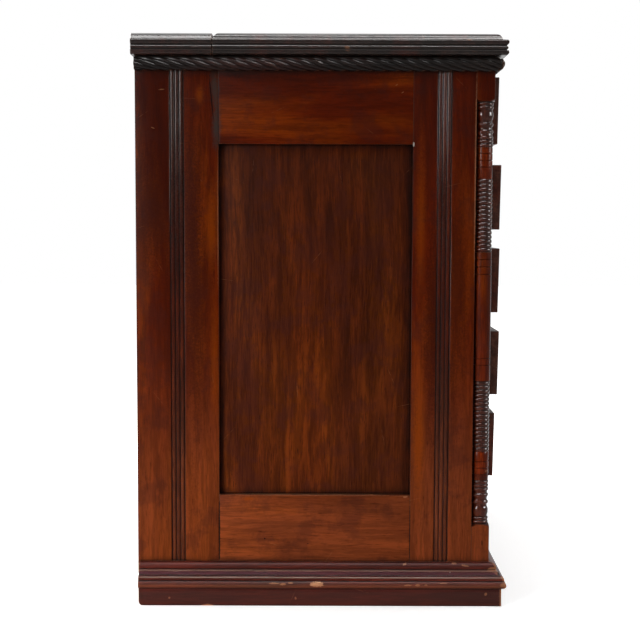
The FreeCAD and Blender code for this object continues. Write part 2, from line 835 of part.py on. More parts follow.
def main():
    os.makedirs("parts", exist_ok=True)
    inside_boards = Part.makeCompound([well_bottom(), case_bottom()])
    rails = [drawer_rail(row) for row in range(drawer_count + 1)]

    write_pair("rear_stile", rear_stile(inside_boards))
    write_pair("front_stile", front_stile(inside_boards))
    write_pair("top_rail", side_rail(z_side_top_rail, z_case_top, z_side_top_rail,
                                     z_side_top_rail + panel_groove_depth, inside_boards))
    write_pair("bottom_rail", side_rail(base_seat_height, z_side_bottom_rail,
                                        z_side_bottom_rail - panel_groove_depth, z_side_bottom_rail,
                                        inside_boards))
    write_pair("side_panel", side_panel())
    write_pair("corner_column", corner_column())
    write_pair("front_post", front_post(rails + [front_apron()]))

    write("front_top_rail", front_top_rail())
    write("drawer_rails", *rails)
    write("front_apron", front_apron())
    write("well_front", raised_front(post_inner, opening_floor(0), well_front_height, 0.0))
    write("well_bottom", well_bottom())
    write("case_bottom", case_bottom())
    write("back_boards", *back_boards())
    write("hinge_rail", hinge_rail())

    rows = range(1, drawer_count + 1)
    runners = [runner(row) for row in rows]
    write("drawer_runners", *runners, *[other_side(piece) for piece in runners])
    write("drawer_stops", *[drawer_stop(row, way) for row in rows for way in (-1, 1)])
    for number in rows:
        write_drawer(number)

    write("rear_top_board", rear_top_board())
    write("lid_board", lid_board())
    write("hinge_lid_leaves", *[lid_leaf(x) for x in hinge_places()])
    write("hinge_case_leaves", *[case_leaf(x) for x in hinge_places()])
    write("hinge_pins", *[hinge_pin(x) for x in hinge_places()])

    write("base_front", base_front())
    write_pair("base", base_left())
    write("base_back", base_back())
    write("rope_front", rope_front())
    write_pair("rope", rope_left())


main()
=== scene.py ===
"""Dresses the spool cabinet: worn boards, turned columns, carved rope, finishes, light and camera."""

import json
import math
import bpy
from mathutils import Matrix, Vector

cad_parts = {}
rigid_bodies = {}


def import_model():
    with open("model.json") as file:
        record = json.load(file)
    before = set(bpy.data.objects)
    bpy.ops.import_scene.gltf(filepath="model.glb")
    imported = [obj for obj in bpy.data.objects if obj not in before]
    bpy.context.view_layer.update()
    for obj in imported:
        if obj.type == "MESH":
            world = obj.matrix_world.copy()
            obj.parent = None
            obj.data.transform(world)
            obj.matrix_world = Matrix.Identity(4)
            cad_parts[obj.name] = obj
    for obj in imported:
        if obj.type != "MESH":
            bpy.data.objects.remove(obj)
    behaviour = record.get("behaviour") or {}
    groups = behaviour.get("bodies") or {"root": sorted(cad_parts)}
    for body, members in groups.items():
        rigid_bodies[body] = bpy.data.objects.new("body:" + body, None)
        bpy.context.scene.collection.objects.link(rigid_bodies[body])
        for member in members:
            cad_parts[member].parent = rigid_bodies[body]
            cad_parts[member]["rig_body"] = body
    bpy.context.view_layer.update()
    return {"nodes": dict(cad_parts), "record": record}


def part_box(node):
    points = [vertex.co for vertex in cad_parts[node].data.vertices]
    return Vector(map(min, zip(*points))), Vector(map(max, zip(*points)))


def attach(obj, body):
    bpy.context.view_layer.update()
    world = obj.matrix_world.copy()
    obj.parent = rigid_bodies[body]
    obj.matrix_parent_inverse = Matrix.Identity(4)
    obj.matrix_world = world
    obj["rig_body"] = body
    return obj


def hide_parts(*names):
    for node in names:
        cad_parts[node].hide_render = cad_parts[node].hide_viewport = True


bl_info = {
    "name": "Spool Cabinet",
    "version": (1, 0, 0),
    "blender": (4, 5, 0),
    "location": "3D View > Sidebar > Spool Cabinet",
    "description": "Builds the worn boards, turnings, mouldings and finishes of a lift-top spool cabinet",
    "category": "Object",
}

from dataclasses import dataclass

import bmesh
import bpy
from bpy.props import FloatProperty, FloatVectorProperty, IntProperty, PointerProperty
from bpy.types import Operator, Panel, PropertyGroup
from mathutils import Matrix, Vector

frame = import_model()
slot_of = {row["node"]: row["material_slot"] for row in frame["record"]["subparts"]}

MM = 0.001
SIDES = ("left", "right")
DRAWERS = ("drawer_1", "drawer_2", "drawer_3", "drawer_4")

# Shortest edges that wear rounds, on wood and on brass, and the least angle of such an edge.
WOOD_EDGE = 8 * MM
BRASS_EDGE = 4 * MM
SHARP_ANGLE = math.radians(30)

# Points nearer than this are one point, on boards and on turned or carved pieces.
WELD = 0.01 * MM
FINE_WELD = 0.002 * MM
# Faces that meet flatter than this are one face, and an arc is drawn in steps of about this turn.
FLAT_ANGLE = math.radians(0.5)
ARC_STEP = math.radians(9)

# A board's number from 0 to 1 is the sine of its middle, mixed by these factors, and a start.
BOARD_MIX = (91.7, 57.3, 73.1)
BOARD_START = 0.4


# Settings

def tone(red, green, blue):
    """A screen colour, each part out of 255, as the linear colour that Blender works in."""
    def linear(part):
        part /= 255
        return part / 12.92 if part <= 0.04045 else ((part + 0.055) / 1.055) ** 2.4
    return (linear(red), linear(green), linear(blue))


def length(name, description, millimetres):
    return FloatProperty(name=name, description=description, default=millimetres * MM, min=0.0,
                         precision=5, subtype="DISTANCE", unit="LENGTH")


def count(name, description, number):
    return IntProperty(name=name, description=description, default=number, min=1)


def angle(name, description, radians):
    return FloatProperty(name=name, description=description, default=radians, subtype="ANGLE")


def power(name, description, watts):
    return FloatProperty(name=name, description=description, default=watts, min=0.0, subtype="POWER")


def colour(name, description, *screen):
    return FloatVectorProperty(name=name, description=description, default=tone(*screen),
                               size=3, min=0.0, max=1.0, subtype="COLOR")


class CabinetSizes(PropertyGroup):
    """Sizes of what is finer than the CAD model."""

    board_ease: length("Board ease", "Rounding worn into the long edges of the boards", 0.8)
    moulding_ease: length("Moulding ease", "Rounding worn into the edges of the mouldings", 0.5)
    brass_ease: length("Brass ease", "Rounding worn into the edges of the brass", 0.25)
    reed_band: length("Reed band", "Width of the reeds on a stile", 19.6)
    reed_depth: length("Reed depth", "Depth of the grooves between reeds", 2.2)
    column_stock: length("Column stock", "Square stock that the corner columns are turned from", 24.0)
    column_top_block: length("Top block", "Square block above the turning", 54.0)
    column_bottom_block: length("Bottom block", "Square block below the turning", 64.5)
    pommel: length("Pommel", "Height of the rounded shoulder of a block", 4.3)
    pommel_radius: length("Pommel radius", "Radius where a shoulder meets the corners of its block", 17.0)
    pommel_swell: length("Pommel swell", "How far a shoulder swells out", 0.8)
    bead_radius: length("Bead radius", "Radius at the crown of a bead", 11.6)
    groove_radius: length("Groove radius", "Radius between two beads", 10.3)
    shaft_radius: length("Shaft radius", "Radius of the short smooth shafts", 11.1)
    long_shaft_radius: length("Long shaft radius", "Radius of the long smooth shaft", 11.7)
    neck_radius: length("Neck radius", "Radius at the necks and coves", 9.8)
    end_beads: count("End beads", "Beads next to a block", 2)
    end_pitch: length("End bead pitch", "Height of a bead next to a block", 4.8)
    vase: length("Vase", "Height of the vase", 14.4)
    vase_radius: length("Vase radius", "Radius at the belly of the vase", 11.5)
    vase_swell: length("Vase swell", "How far the vase swells out above and below its belly", 0.4)
    neck: length("Neck", "Height of a neck", 2.8)
    cove: length("Cove", "Height of the cove", 4.8)
    mid_beads: count("Middle beads", "Beads above a short shaft", 3)
    mid_pitch: length("Middle bead pitch", "Height of a middle bead", 5.0)
    short_shaft: length("Short shaft", "Height of a short smooth shaft", 40.5)
    low_short_shaft: length("Low short shaft", "Height of the short shaft at the foot", 38.2)
    long_beads: count("Long row", "Beads in a long row", 17)
    long_pitch: length("Long row pitch", "Height of a bead in a long row", 5.7)
    low_long_pitch: length("Low row pitch", "Height of a bead in the long row at the foot", 5.61)
    ring_cut: length("Ring cut", "Depth of a fine cut ring on a shaft", 0.9)
    ring_reach: length("Ring reach", "Half the width of a fine cut ring", 0.8)
    turned_sides: count("Turned sides", "Faces round a turned piece", 48)
    rope_radius: length("Rope radius", "Radius of the rope moulding", 9.4)
    rope_stand: length("Rope stand", "Distance of the rope's axis from the case", 1.4)
    rope_top_gap: length("Rope gap", "Gap between the rope and the top", 0.7)
    rope_strands: count("Rope strands", "Strands that the rope is carved with", 6)
    rope_spacing: length("Strand spacing", "Distance between strands along the rope", 17.5)
    strand_radius: length("Strand radius", "Radius of one carved strand", 3.5)
    foot_round: length("Foot rounding", "Wear on the rear bottom corner of the base", 6.5)
    joint_bevel: length("Joint bevel", "Bevel of the lid along its joint", 6.0)
    hinge_spacing: length("Hinge spacing", "Distance between the two hinges", 420.0)
    hinge_length: length("Hinge length", "Length of a hinge", 50.0)
    leaf_height: length("Leaf height", "Height of a hinge leaf below the pin", 20.0)
    leaf_room: length("Leaf room", "Depth of the recess for a leaf", 1.5)
    knuckle_room: length("Knuckle room", "Radius of the recess for the knuckles", 3.3)


class CabinetColours(PropertyGroup):
    """Colours of the finishes."""

    frame_mid: colour("Frame", "Red-brown of the stiles and rails", 82, 21, 1)
    frame_dark: colour("Frame dark", "Dark mottling of the stiles and rails", 50, 13, 4)
    frame_pale: colour("Frame pale", "Amber patches of the stiles and rails", 130, 54, 0)
    panel_mid: colour("Panel", "Brown of the sunk panels", 74, 27, 5)
    panel_dark: colour("Panel dark", "Dark grain of the sunk panels", 38, 16, 8)
    panel_pale: colour("Panel pale", "Amber grain of the sunk panels", 112, 50, 4)
    shaft_mid: colour("Shaft", "Amber of the smooth shafts", 116, 37, 3)
    bead_mid: colour("Beads", "Brown of the turned beads", 76, 30, 15)
    top_mid: colour("Top", "Near-black brown of the top", 30, 20, 18)
    top_dark: colour("Top dark", "Black of the top", 15, 10, 9)
    rope_mid: colour("Rope", "Black-brown of the carved rope", 26, 19, 16)
    base_mid: colour("Base", "Plum brown of the base", 82, 26, 15)
    base_dark: colour("Base dark", "Dark plum of the base", 46, 18, 15)
    front_mid: colour("Fronts", "Brown of the drawer fronts", 84, 48, 36)
    front_dark: colour("Fronts dark", "Dark grain of the drawer fronts", 40, 21, 15)
    inner_mid: colour("Inside", "Bare wood inside the case", 150, 110, 70)
    inner_dark: colour("Inside dark", "Dark grain of the bare wood inside", 96, 66, 40)
    back_mid: colour("Back", "Dusty bare wood of the back boards", 104, 80, 58)
    back_dark: colour("Back dark", "Dark grain of the back boards", 66, 48, 34)
    reed_mid: colour("Reeds", "Brown of the reeds", 74, 21, 2)
    plum: colour("Plum", "Plum bloom in the old polish", 58, 24, 18)
    # Painted reflection: violet-grey standing for the pale room reflected in the base's hollow, over its own
    # plum tone.
    cove_reflection: colour("Violet", "Violet-grey bloom in the hollow of the base", 84, 50, 60)
    # Painted light: this colour lightens the wood near the floor, where light bounces up from the floor.
    painted_floor_light: colour("Faded", "Sun-faded wood near the floor", 150, 80, 44)
    smoke: colour("Smoke", "Dark haze in the old polish", 30, 18, 14)
    stain: colour("Stain", "Grey stain beside a joint", 54, 50, 46)
    nick: colour("Nick", "Pale filler in a nick", 205, 196, 186)
    # Partly rubbed wear, partly painted sheen: grey on the upper crowns and bright lines along the base's
    # fillets.
    rubbed_and_sheen: colour("Rubbed", "Grey bloom on rubbed crowns", 128, 104, 88)
    worn: colour("Worn edge", "Wood laid bare on worn edges", 150, 98, 66)
    bare: colour("Bare chip", "Fresh wood in a chip", 172, 118, 84)
    # Dirt and painted shade in corners, grooves and recesses; also dark joint lines.
    grime_and_shade: colour("Grime_and_shade", "Old polish and dirt in the corners", 20, 13, 10)
    brass: colour("Brass", "Old brass", 148, 114, 62)
    brass_dark: colour("Brass dark", "Tarnish on the brass", 66, 48, 28)
    floor: colour("Floor", "Pale floor", 240, 240, 240)


class CabinetStudio(PropertyGroup):
    """Camera and lamps."""

    camera_place: FloatVectorProperty(
        name="Camera place", description="Where the camera stands", size=3,
        default=(-2.0020, 0.00535, 0.5176), subtype="TRANSLATION", unit="LENGTH")
    camera_pitch: angle("Camera pitch", "How far the camera looks down", 0.0788956)
    camera_yaw: angle("Camera yaw", "How far the camera turns to the left", -0.0023323)
    camera_roll: angle("Camera roll", "How far the camera leans", 0.0035979)
    lens: FloatProperty(name="Lens", description="Focal length on a 36 mm sensor", default=70.66)
    key_power: power("Overhead lamp", "Power of the large lamp overhead", 44.0)
    side_power: power("Side lamps", "Power of the lamp to the left of the camera", 10.0)
    front_power: power("Front window", "Power of the narrow glint above the camera", 105.0)
    glint_power: power("Side windows", "Power of each glint beside the camera", 170.0)
    low_power: power("Low lamp", "Power of the lamp that lifts the lower half", 2.9)
    world_level: FloatProperty(name="Room light", description="Strength of the light from all round",
                               default=0.2)


# Pieces

def only(piece):
    """Selects one piece and makes it the active one."""
    bpy.ops.object.select_all(action="DESELECT")
    piece.select_set(True)
    bpy.context.view_layer.objects.active = piece


def edit(piece):
    """Opens one piece in edit mode with all of it selected."""
    only(piece)
    bpy.ops.object.mode_set(mode="EDIT")
    bpy.ops.mesh.select_mode(type="VERT")
    bpy.ops.mesh.select_all(action="SELECT")


def close_edit():
    bpy.ops.object.mode_set(mode="OBJECT")


def settle(piece):
    """Moves a piece's place, turn and size into its mesh."""
    only(piece)
    bpy.ops.object.transform_apply(location=True, rotation=True, scale=True)


def apply_modifier(piece, kind, **settings):
    """Adds a modifier, sets it and applies it."""
    only(piece)
    modifier = piece.modifiers.new(kind.lower(), kind)
    for key, value in settings.items():
        setattr(modifier, key, value)
    bpy.ops.object.modifier_apply(modifier=modifier.name)


def smooth(piece, degrees=40.0):
    only(piece)
    bpy.ops.object.shade_smooth_by_angle(angle=math.radians(degrees))


def copy_of(piece, name, place=(0.0, 0.0, 0.0)):
    """A copy with its own mesh, moved to its place."""
    twin = bpy.data.objects.new(name, piece.data.copy())
    bpy.context.scene.collection.objects.link(twin)
    twin.data.transform(Matrix.Translation(Vector(place)))
    return twin


def mirrored(piece, name):
    """The same piece on the other side of the case."""
    twin = copy_of(piece, name)
    twin.data.transform(Matrix.Scale(-1.0, 4, Vector((1.0, 0.0, 0.0))))
    edit(twin)
    bpy.ops.mesh.flip_normals()
    close_edit()
    return twin


def number_boards(piece):
    """Gives each separate board of a piece a number, which shifts its grain and its tone."""
    shape = bmesh.new()
    shape.from_mesh(piece.data)
    layer = shape.verts.layers.float.new("board")
    waiting = set(shape.verts)
    while waiting:
        start = min(waiting, key=lambda vertex: vertex.index)
        island = {start}
        front = [start]
        while front:
            for edge in front.pop().link_edges:
                for vertex in edge.verts:
                    if vertex not in island:
                        island.add(vertex)
                        front.append(vertex)
        # An exact sum gives the same number in every run, whatever the order of the set.
        middle = [math.fsum(vertex.co[axis] for vertex in island) / len(island) for axis in range(3)]
        mixed = sum(factor * part for factor, part in zip(BOARD_MIX, middle))
        number = abs(math.sin(mixed + BOARD_START))
        for vertex in island:
            vertex[layer] = number
        waiting -= island
    shape.to_mesh(piece.data)
    shape.free()


def place_piece(piece, node, *materials):
    """Gives a finished piece its materials and its place in the frame, for one CAD node."""
    piece.data.materials.clear()
    for material in materials:
        piece.data.materials.append(material)
    number_boards(piece)
    cad = frame["nodes"][node]
    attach(piece, cad["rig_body"])
    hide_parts(node)


def worn_copy(node, ease, shortest):
    """A copy of a CAD node's boards with their long outer edges eased."""
    piece = bpy.data.objects.new(node + "_worn", frame["nodes"][node].data.copy())
    bpy.context.scene.collection.objects.link(piece)
    only(piece)
    bpy.ops.mesh.customdata_custom_splitnormals_clear()
    edit(piece)
    bpy.ops.mesh.remove_doubles(threshold=WELD)
    bpy.ops.mesh.dissolve_limited(angle_limit=FLAT_ANGLE)
    bpy.ops.mesh.select_all(action="DESELECT")
    bpy.ops.mesh.select_mode(type="EDGE")
    shape = bmesh.from_edit_mesh(piece.data)
    for edge in shape.edges:
        sharp = len(edge.link_faces) == 2 and edge.calc_face_angle() > SHARP_ANGLE
        edge.select_set(sharp and edge.is_convex and edge.calc_length() > shortest)
    bmesh.update_edit_mesh(piece.data)
    bpy.ops.mesh.bevel(offset=ease, segments=2, affect="EDGES", clamp_overlap=False)
    close_edit()
    smooth(piece)
    return piece


def draw_line(name, points):
    """Draws an open line of edges, extruding one vertex from point to point."""
    bpy.ops.object.select_all(action="DESELECT")
    bpy.ops.mesh.primitive_circle_add(vertices=3, radius=MM, location=points[0])
    piece = bpy.context.object
    piece.name = name
    settle(piece)
    edit(piece)
    bpy.ops.mesh.merge(type="CENTER")
    for here, there in zip(points, points[1:]):
        bpy.ops.mesh.extrude_region_move(TRANSFORM_OT_translate={"value": there - here})
    close_edit()
    return piece


def outline(stations):
    """The points of a section, drawn from stations in mm. A third number bows the run to its station out."""
    points = [Vector(stations[0]) * MM]
    for station in stations[1:]:
        start, end = points[-1], Vector(station[:2]) * MM
        if len(station) == 3:
            run = end - start
            half_turn = 2 * math.atan(2 * station[2] * MM / run.length)
            radius = run.length / 2 / math.sin(half_turn)
            outward = Vector((run.y, -run.x)).normalized()
            steps = max(3, math.ceil(abs(half_turn) / ARC_STEP))
            for step in range(1, steps):
                turn = half_turn * (2 * step / steps - 1)
                along = radius * math.sin(turn) * run.normalized()
                bow = radius * (math.cos(turn) - math.cos(half_turn)) * outward
                points.append((start + end) / 2 + along + bow)
        points.append(end)
    return points


def spin_round(piece, axis_place, sides):
    """Turns a line round an upright axis into a closed turning."""
    edit(piece)
    bpy.ops.mesh.spin(steps=sides, angle=2 * math.pi, center=axis_place, axis=(0, 0, 1))
    bpy.ops.mesh.select_all(action="SELECT")
    bpy.ops.mesh.remove_doubles(threshold=FINE_WELD)
    bpy.ops.mesh.normals_make_consistent(inside=False)
    close_edit()


def block(name, low, high):
    """A square block between two corners."""
    low, high = Vector(low), Vector(high)
    bpy.ops.object.select_all(action="DESELECT")
    bpy.ops.mesh.primitive_cube_add(size=1.0, location=(low + high) / 2)
    piece = bpy.context.object
    piece.name = name
    piece.scale = high - low
    settle(piece)
    return piece


def cut_off(piece, place, outward):
    """Saws a piece off at a plane, keeping what lies behind it, and closes the cut."""
    edit(piece)
    bpy.ops.mesh.bisect(plane_co=place, plane_no=outward, use_fill=True, clear_outer=True)
    close_edit()


# Shader nodes

def put(tree, kind, sockets=None, **settings):
    """Adds a node, sets it, and sets or links its inputs."""
    made = tree.nodes.new(kind)
    for key, value in settings.items():
        setattr(made, key, value)
    for key, value in (sockets or {}).items():
        if isinstance(value, bpy.types.NodeSocket):
            tree.links.new(value, made.inputs[key])
        else:
            made.inputs[key].default_value = value
    return made


def maths(tree, operation, first, second=0.5):
    return put(tree, "ShaderNodeMath", {0: first, 1: second}, operation=operation).outputs[0]


def times(tree, first, second):
    return maths(tree, "MULTIPLY", first, second)


def vector_maths(tree, operation, first, second=(0.0, 0.0, 0.0)):
    """A vector made from one or two others."""
    return put(tree, "ShaderNodeVectorMath", {0: first, 1: second}, operation=operation).outputs[0]


def measure(tree, operation, first, second=(0.0, 0.0, 0.0)):
    """A number taken from one or two vectors."""
    return put(tree, "ShaderNodeVectorMath", {0: first, 1: second}, operation=operation).outputs["Value"]


def scaled(tree, vector, factor):
    return put(tree, "ShaderNodeVectorMath", {0: vector, "Scale": factor}, operation="SCALE").outputs[0]


def blend(tree, factor, first, second, kind="MIX"):
    """Mixes two colours."""
    return put(tree, "ShaderNodeMix", {0: factor, 6: solid(first), 7: solid(second)},
               data_type="RGBA", blend_type=kind).outputs[2]


def overlay(tree, tint, mask, strength, shade):
    """Lays a colour over another where a mask lets it, at a strength."""
    return blend(tree, times(tree, mask, strength), tint, shade)


def solid(value):
    """A colour setting with its alpha; a socket passes through."""
    return value if isinstance(value, bpy.types.NodeSocket) else (*value[:3], 1.0)


def spread(tree, value, low, high, to_low=0.0, to_high=1.0):
    """Stretches the part of a value between low and high over a new range, softly."""
    sockets = {"Value": value, "From Min": low, "From Max": high, "To Min": to_low, "To Max": to_high}
    return put(tree, "ShaderNodeMapRange", sockets, interpolation_type="SMOOTHSTEP").outputs[0]


def cloud(tree, place, scale, detail=3.0, rough=0.55, warp=0.0):
    sockets = {"Vector": place, "Scale": scale, "Detail": detail, "Roughness": rough, "Distortion": warp}
    return put(tree, "ShaderNodeTexNoise", sockets).outputs[0]


def fibres(tree, place, across, along, detail=4.0, rough=0.6, warp=0.0):
    """Noise drawn out along the grain, which runs along Z."""
    stretched = vector_maths(tree, "MULTIPLY", place, (across, across, along))
    return cloud(tree, stretched, 1.0, detail, rough, warp)


def new_group(name, inputs, outputs):
    """An empty shader group, with what its inputs give and what its outputs take."""
    tree = bpy.data.node_groups.new(name, "ShaderNodeTree")
    for label, default in inputs.items():
        kind = "NodeSocketVector" if isinstance(default, tuple) else "NodeSocketFloat"
        tree.interface.new_socket(label, in_out="INPUT", socket_type=kind).default_value = default
    for label in outputs:
        tree.interface.new_socket(label, in_out="OUTPUT", socket_type="NodeSocketFloat")
    return tree, tree.nodes.new("NodeGroupInput").outputs, tree.nodes.new("NodeGroupOutput").inputs


def use(tree, group, **sockets):
    """Places a shader group and gives its outputs."""
    return put(tree, "ShaderNodeGroup", sockets, node_tree=bpy.data.node_groups[group]).outputs


def build_grain():
    """Grain along Z: broad figure, flames, streaks, open pores and a height."""
    tree, given, result = new_group("wood_grain", {"Position": (0.0, 0.0, 0.0)},
                                    ["Figure", "Flame", "Streaks", "Pores", "Height"])
    place = given["Position"]
    drift = put(tree, "ShaderNodeTexNoise", {"Vector": place, "Scale": 3.0, "Detail": 2.0}).outputs[1]
    wavy = vector_maths(tree, "ADD", place, vector_maths(tree, "MULTIPLY", drift, (0.02, 0.02, 0.0)))
    figure = fibres(tree, wavy, 11.0, 1.7, 4.0, 0.6, 0.6)
    flame = fibres(tree, wavy, 42.0, 5.0, 4.0, 0.6, 0.8)
    streaks = fibres(tree, wavy, 120.0, 10.0, 5.0, 0.65)
    fine = fibres(tree, wavy, 500.0, 42.0, 3.0, 0.6)
    dashes = fibres(tree, wavy, 760.0, 66.0, 2.0, 0.5)
    pores = spread(tree, dashes, 0.60, 0.72)
    tree.links.new(spread(tree, figure, 0.32, 0.68), result["Figure"])
    tree.links.new(spread(tree, flame, 0.34, 0.66), result["Flame"])
    lines = maths(tree, "ADD", times(tree, streaks, 0.6), times(tree, fine, 0.4))
    tree.links.new(spread(tree, lines, 0.40, 0.60), result["Streaks"])
    tree.links.new(pores, result["Pores"])
    height = maths(tree, "SUBTRACT", times(tree, fine, 0.5), pores)
    tree.links.new(height, result["Height"])


def build_wear():
    """Worn outer edges, and inner corners darkened by dirt and painted shade."""
    tree, given, result = new_group("edge_wear", {
        "Position": (0.0, 0.0, 0.0), "Reach": 2.5 * MM, "Shelter": 14 * MM}, ["Worn", "Grime_and_shade"])
    inside = put(tree, "ShaderNodeAmbientOcclusion", {"Distance": given["Reach"]},
                 samples=6, inside=True, only_local=True).outputs["AO"]
    patches = cloud(tree, given["Position"], 38.0, 5.0, 0.65)
    nibbles = cloud(tree, given["Position"], 260.0, 3.0, 0.6)
    rough = maths(tree, "ADD", times(tree, patches, 0.7), times(tree, nibbles, 0.3))
    edge = maths(tree, "SUBTRACT", 1.0, inside)
    tree.links.new(spread(tree, times(tree, edge, rough), 0.13, 0.26), result["Worn"])
    open_air = put(tree, "ShaderNodeAmbientOcclusion", {"Distance": given["Shelter"]},
                   samples=8).outputs["AO"]
    shut = maths(tree, "SUBTRACT", 1.0, open_air)
    dirt_and_shade = times(tree, shut, spread(tree, patches, 0.2, 0.6, 0.6, 1.2))
    tree.links.new(spread(tree, dirt_and_shade, 0.12, 0.75), result["Grime_and_shade"])


def build_scratches():
    """Sparse straight scratches that lie in the plane that Flat keeps."""
    tree, given, result = new_group("scratches", {
        "Position": (0.0, 0.0, 0.0), "Flat": (0.0, 1.0, 1.0)}, ["Mask"])
    flat = vector_maths(tree, "MULTIPLY", given["Position"], given["Flat"])
    cells = put(tree, "ShaderNodeTexVoronoi", {"Vector": flat, "Scale": 17.0}).outputs
    chance = put(tree, "ShaderNodeSeparateColor", {0: cells["Color"]}).outputs
    offset = vector_maths(tree, "SUBTRACT", flat, cells["Position"])
    offset = vector_maths(tree, "MULTIPLY", offset, given["Flat"])
    aim = vector_maths(tree, "SUBTRACT", cells["Color"], (0.5, 0.5, 0.5))
    aim = vector_maths(tree, "NORMALIZE", vector_maths(tree, "MULTIPLY", aim, given["Flat"]))
    along = measure(tree, "DOT_PRODUCT", offset, aim)
    apart = measure(tree, "DISTANCE", offset, scaled(tree, aim, along))
    thin = spread(tree, apart, 0.15 * MM, 0.45 * MM, 1.0, 0.0)
    short = spread(tree, maths(tree, "ABSOLUTE", along), 4 * MM, 14 * MM, 1.0, 0.0)
    seldom = maths(tree, "LESS_THAN", chance[0], 0.3)
    broken = spread(tree, cloud(tree, given["Position"], 180.0, 2.0), 0.35, 0.6)
    tree.links.new(times(tree, times(tree, thin, short), times(tree, seldom, broken)), result["Mask"])


def build_mark():
    """One mark on a side face, at its own place, size and lean, from ragged to soft."""
    tree, given, result = new_group("mark", {
        "Position": (0.0, 0.0, 0.0), "Centre": (0.0, 0.0, 0.0), "Reach": (0.03, 0.01, 0.01),
        "Lean": 0.0, "Soft": 0.2}, ["Mask"])
    offset = vector_maths(tree, "SUBTRACT", given["Position"], given["Centre"])
    turned = put(tree, "ShaderNodeVectorRotate", {"Vector": offset, "Angle": given["Lean"]},
                 rotation_type="X_AXIS").outputs[0]
    far = measure(tree, "LENGTH", vector_maths(tree, "DIVIDE", turned, given["Reach"]))
    rough = maths(tree, "SUBTRACT", cloud(tree, given["Position"], 420.0, 4.0, 0.65), 0.5)
    away = maths(tree, "ADD", far, times(tree, rough, 1.2))
    inner = maths(tree, "SUBTRACT", 1.0, given["Soft"])
    tree.links.new(spread(tree, away, inner, 1.05, 1.0, 0.0), result["Mask"])


# Finishes

# The finished materials by slot and by the direction of the grain, filled by the first operator.
finish = {}

# Turns that bring the grain of a board along X, Y or Z onto Z.
ALONG = {"x": (0.0, math.pi / 2, 0.0), "y": (math.pi / 2, 0.0, 0.0), "z": (0.0, 0.0, 0.0)}
# How far the grain shifts on a board whose number is 1 (m).
BOARD_SHIFT = (3.7, 5.3, 2.9)

# Heights (m) between which painted light from the floor fades out upward, the foot darkens, smoke gathers,
# and grit and painted sheen grow on the crowns.
FLOOR_LIGHT_HEIGHTS = (0.08, 0.42)
FOOT_HEIGHTS = (0.023, 0.026)
SMOKE_HEIGHTS = (0.1, 0.72)
GRIT_AND_SHEEN_HEIGHTS = (0.38, 0.6)

# Marks lie on the left side: the x of its face, and how far a mark reaches on either side of that x (m).
MARKED_SIDE = -0.335
MARK_DEPTH = 0.04
# Each mark: y and z of its middle, half width and half height (all mm), lean (degrees), colour, strength
# from 0 to 1, softness from 0 to 1.
FRAME_MARKS = (
    (146, 505, 9, 75, 0, "frame_pale", 0.65, 1.0),
    (161, 682, 8, 16, 0, "frame_pale", 0.7, 1.0),
    (-132, 520, 9, 150, 0, "frame_pale", 0.5, 1.0),
    (98, 143, 11, 4, 0, "frame_pale", 0.7, 0.9),
    (-132, 225, 11, 120, 0, "frame_pale", 0.65, 1.0),
    # Broad frame_dark marks darken the stiles beside the reeds and beside the column.
    (-170, 400, 50, 150, 0, "frame_dark", 0.5, 1.0),
    (155, 400, 22, 130, 0, "frame_dark", 0.3, 1.0),
    (198, 400, 16, 260, 0, "frame_dark", 0.6, 1.0),
    (216, 530, 34, 130, 0, "frame_dark", 0.7, 1.0),
    (170, 440, 24, 280, 0, "frame_dark", 0.85, 1.0),
    (-151, 390, 15, 230, 0, "frame_dark", 0.65, 1.0),
    (-180, 440, 20, 280, 0, "frame_dark", 0.6, 1.0),
    (228, 530, 22, 130, 0, "frame_dark", 0.5, 1.0),
    (175, 540, 17, 150, 0, "frame_dark", 0.75, 1.0),
    (-145, 360, 18, 170, 0, "frame_dark", 0.5, 1.0),
    (143, 340, 8, 120, 0, "frame_pale", 0.4, 1.0),
    (172, 140, 12, 70, 0, "frame_dark", 0.35, 1.0),
    (141, 692, 8, 46, 4, "stain", 0.75, 0.9),
    (139, 640, 8, 40, 0, "stain", 0.85, 0.9),
    (22, 718, 400, 22, 0, "smoke", 0.7, 1.0),
    (112, 716, 32, 16, 0, "smoke", 0.6, 1.0),
    (145.7, 679, 0.9, 34, 5.6, "grime_and_shade", 0.95, 0.35),
    (136.4, 664, 0.8, 48, 0, "grime_and_shade", 0.8, 0.4),
    (136.5, 94, 1.3, 54, 0, "grime_and_shade", 0.95, 0.3),
    (-120.9, 94, 0.8, 54, 0, "grime_and_shade", 0.9, 0.3),
    # Pale line along the top edge of the bottom rail: partly worn arris, partly a painted highlight.
    (7.8, 148.3, 132, 0.8, 0, "worn", 0.5, 0.5),
    (137.5, 515, 0.8, 105, 0, "worn", 0.45, 0.5),
    # Pale line along the stile's arris beside the column: partly worn, partly a painted highlight.
    (-203.6, 585, 1.3, 150, 0, "worn", 0.75, 0.5),
    (-114.5, 146.2, 3.4, 1.6, 0, "worn", 0.7, 0.3),
    (-121.5, 618.7, 1.1, 3.0, 0, "nick", 1.0, 0.2),
    (-98.3, 696, 2.4, 0.6, 38, "worn", 0.7, 0.4),
    (-106.3, 686.3, 2.2, 0.6, 30, "worn", 0.7, 0.4),
    (211, 689, 5, 0.9, 4, "worn", 0.6, 0.4),
    (223, 639, 3, 0.8, -20, "worn", 0.6, 0.4),
    (75.1, 88.4, 1.3, 1.1, 0, "grime_and_shade", 0.9, 0.3),
    (16.7, 81.6, 1.1, 0.9, 0, "grime_and_shade", 0.9, 0.3),
    (-219, 83, 0.9, 5, 0, "grime_and_shade", 0.8, 0.3),
)
COLUMN_MARKS = (
    (-219, 171, 16, 11, 0, "smoke", 0.7, 0.8),
    (-224, 181, 3, 2, 20, "worn", 0.5, 0.5),
)
TOP_MARKS = (
    (-33, 742, 4, 6, 20, "worn", 0.45, 0.6),
    (-192, 753, 5, 1.5, 0, "worn", 0.4, 0.6),
)
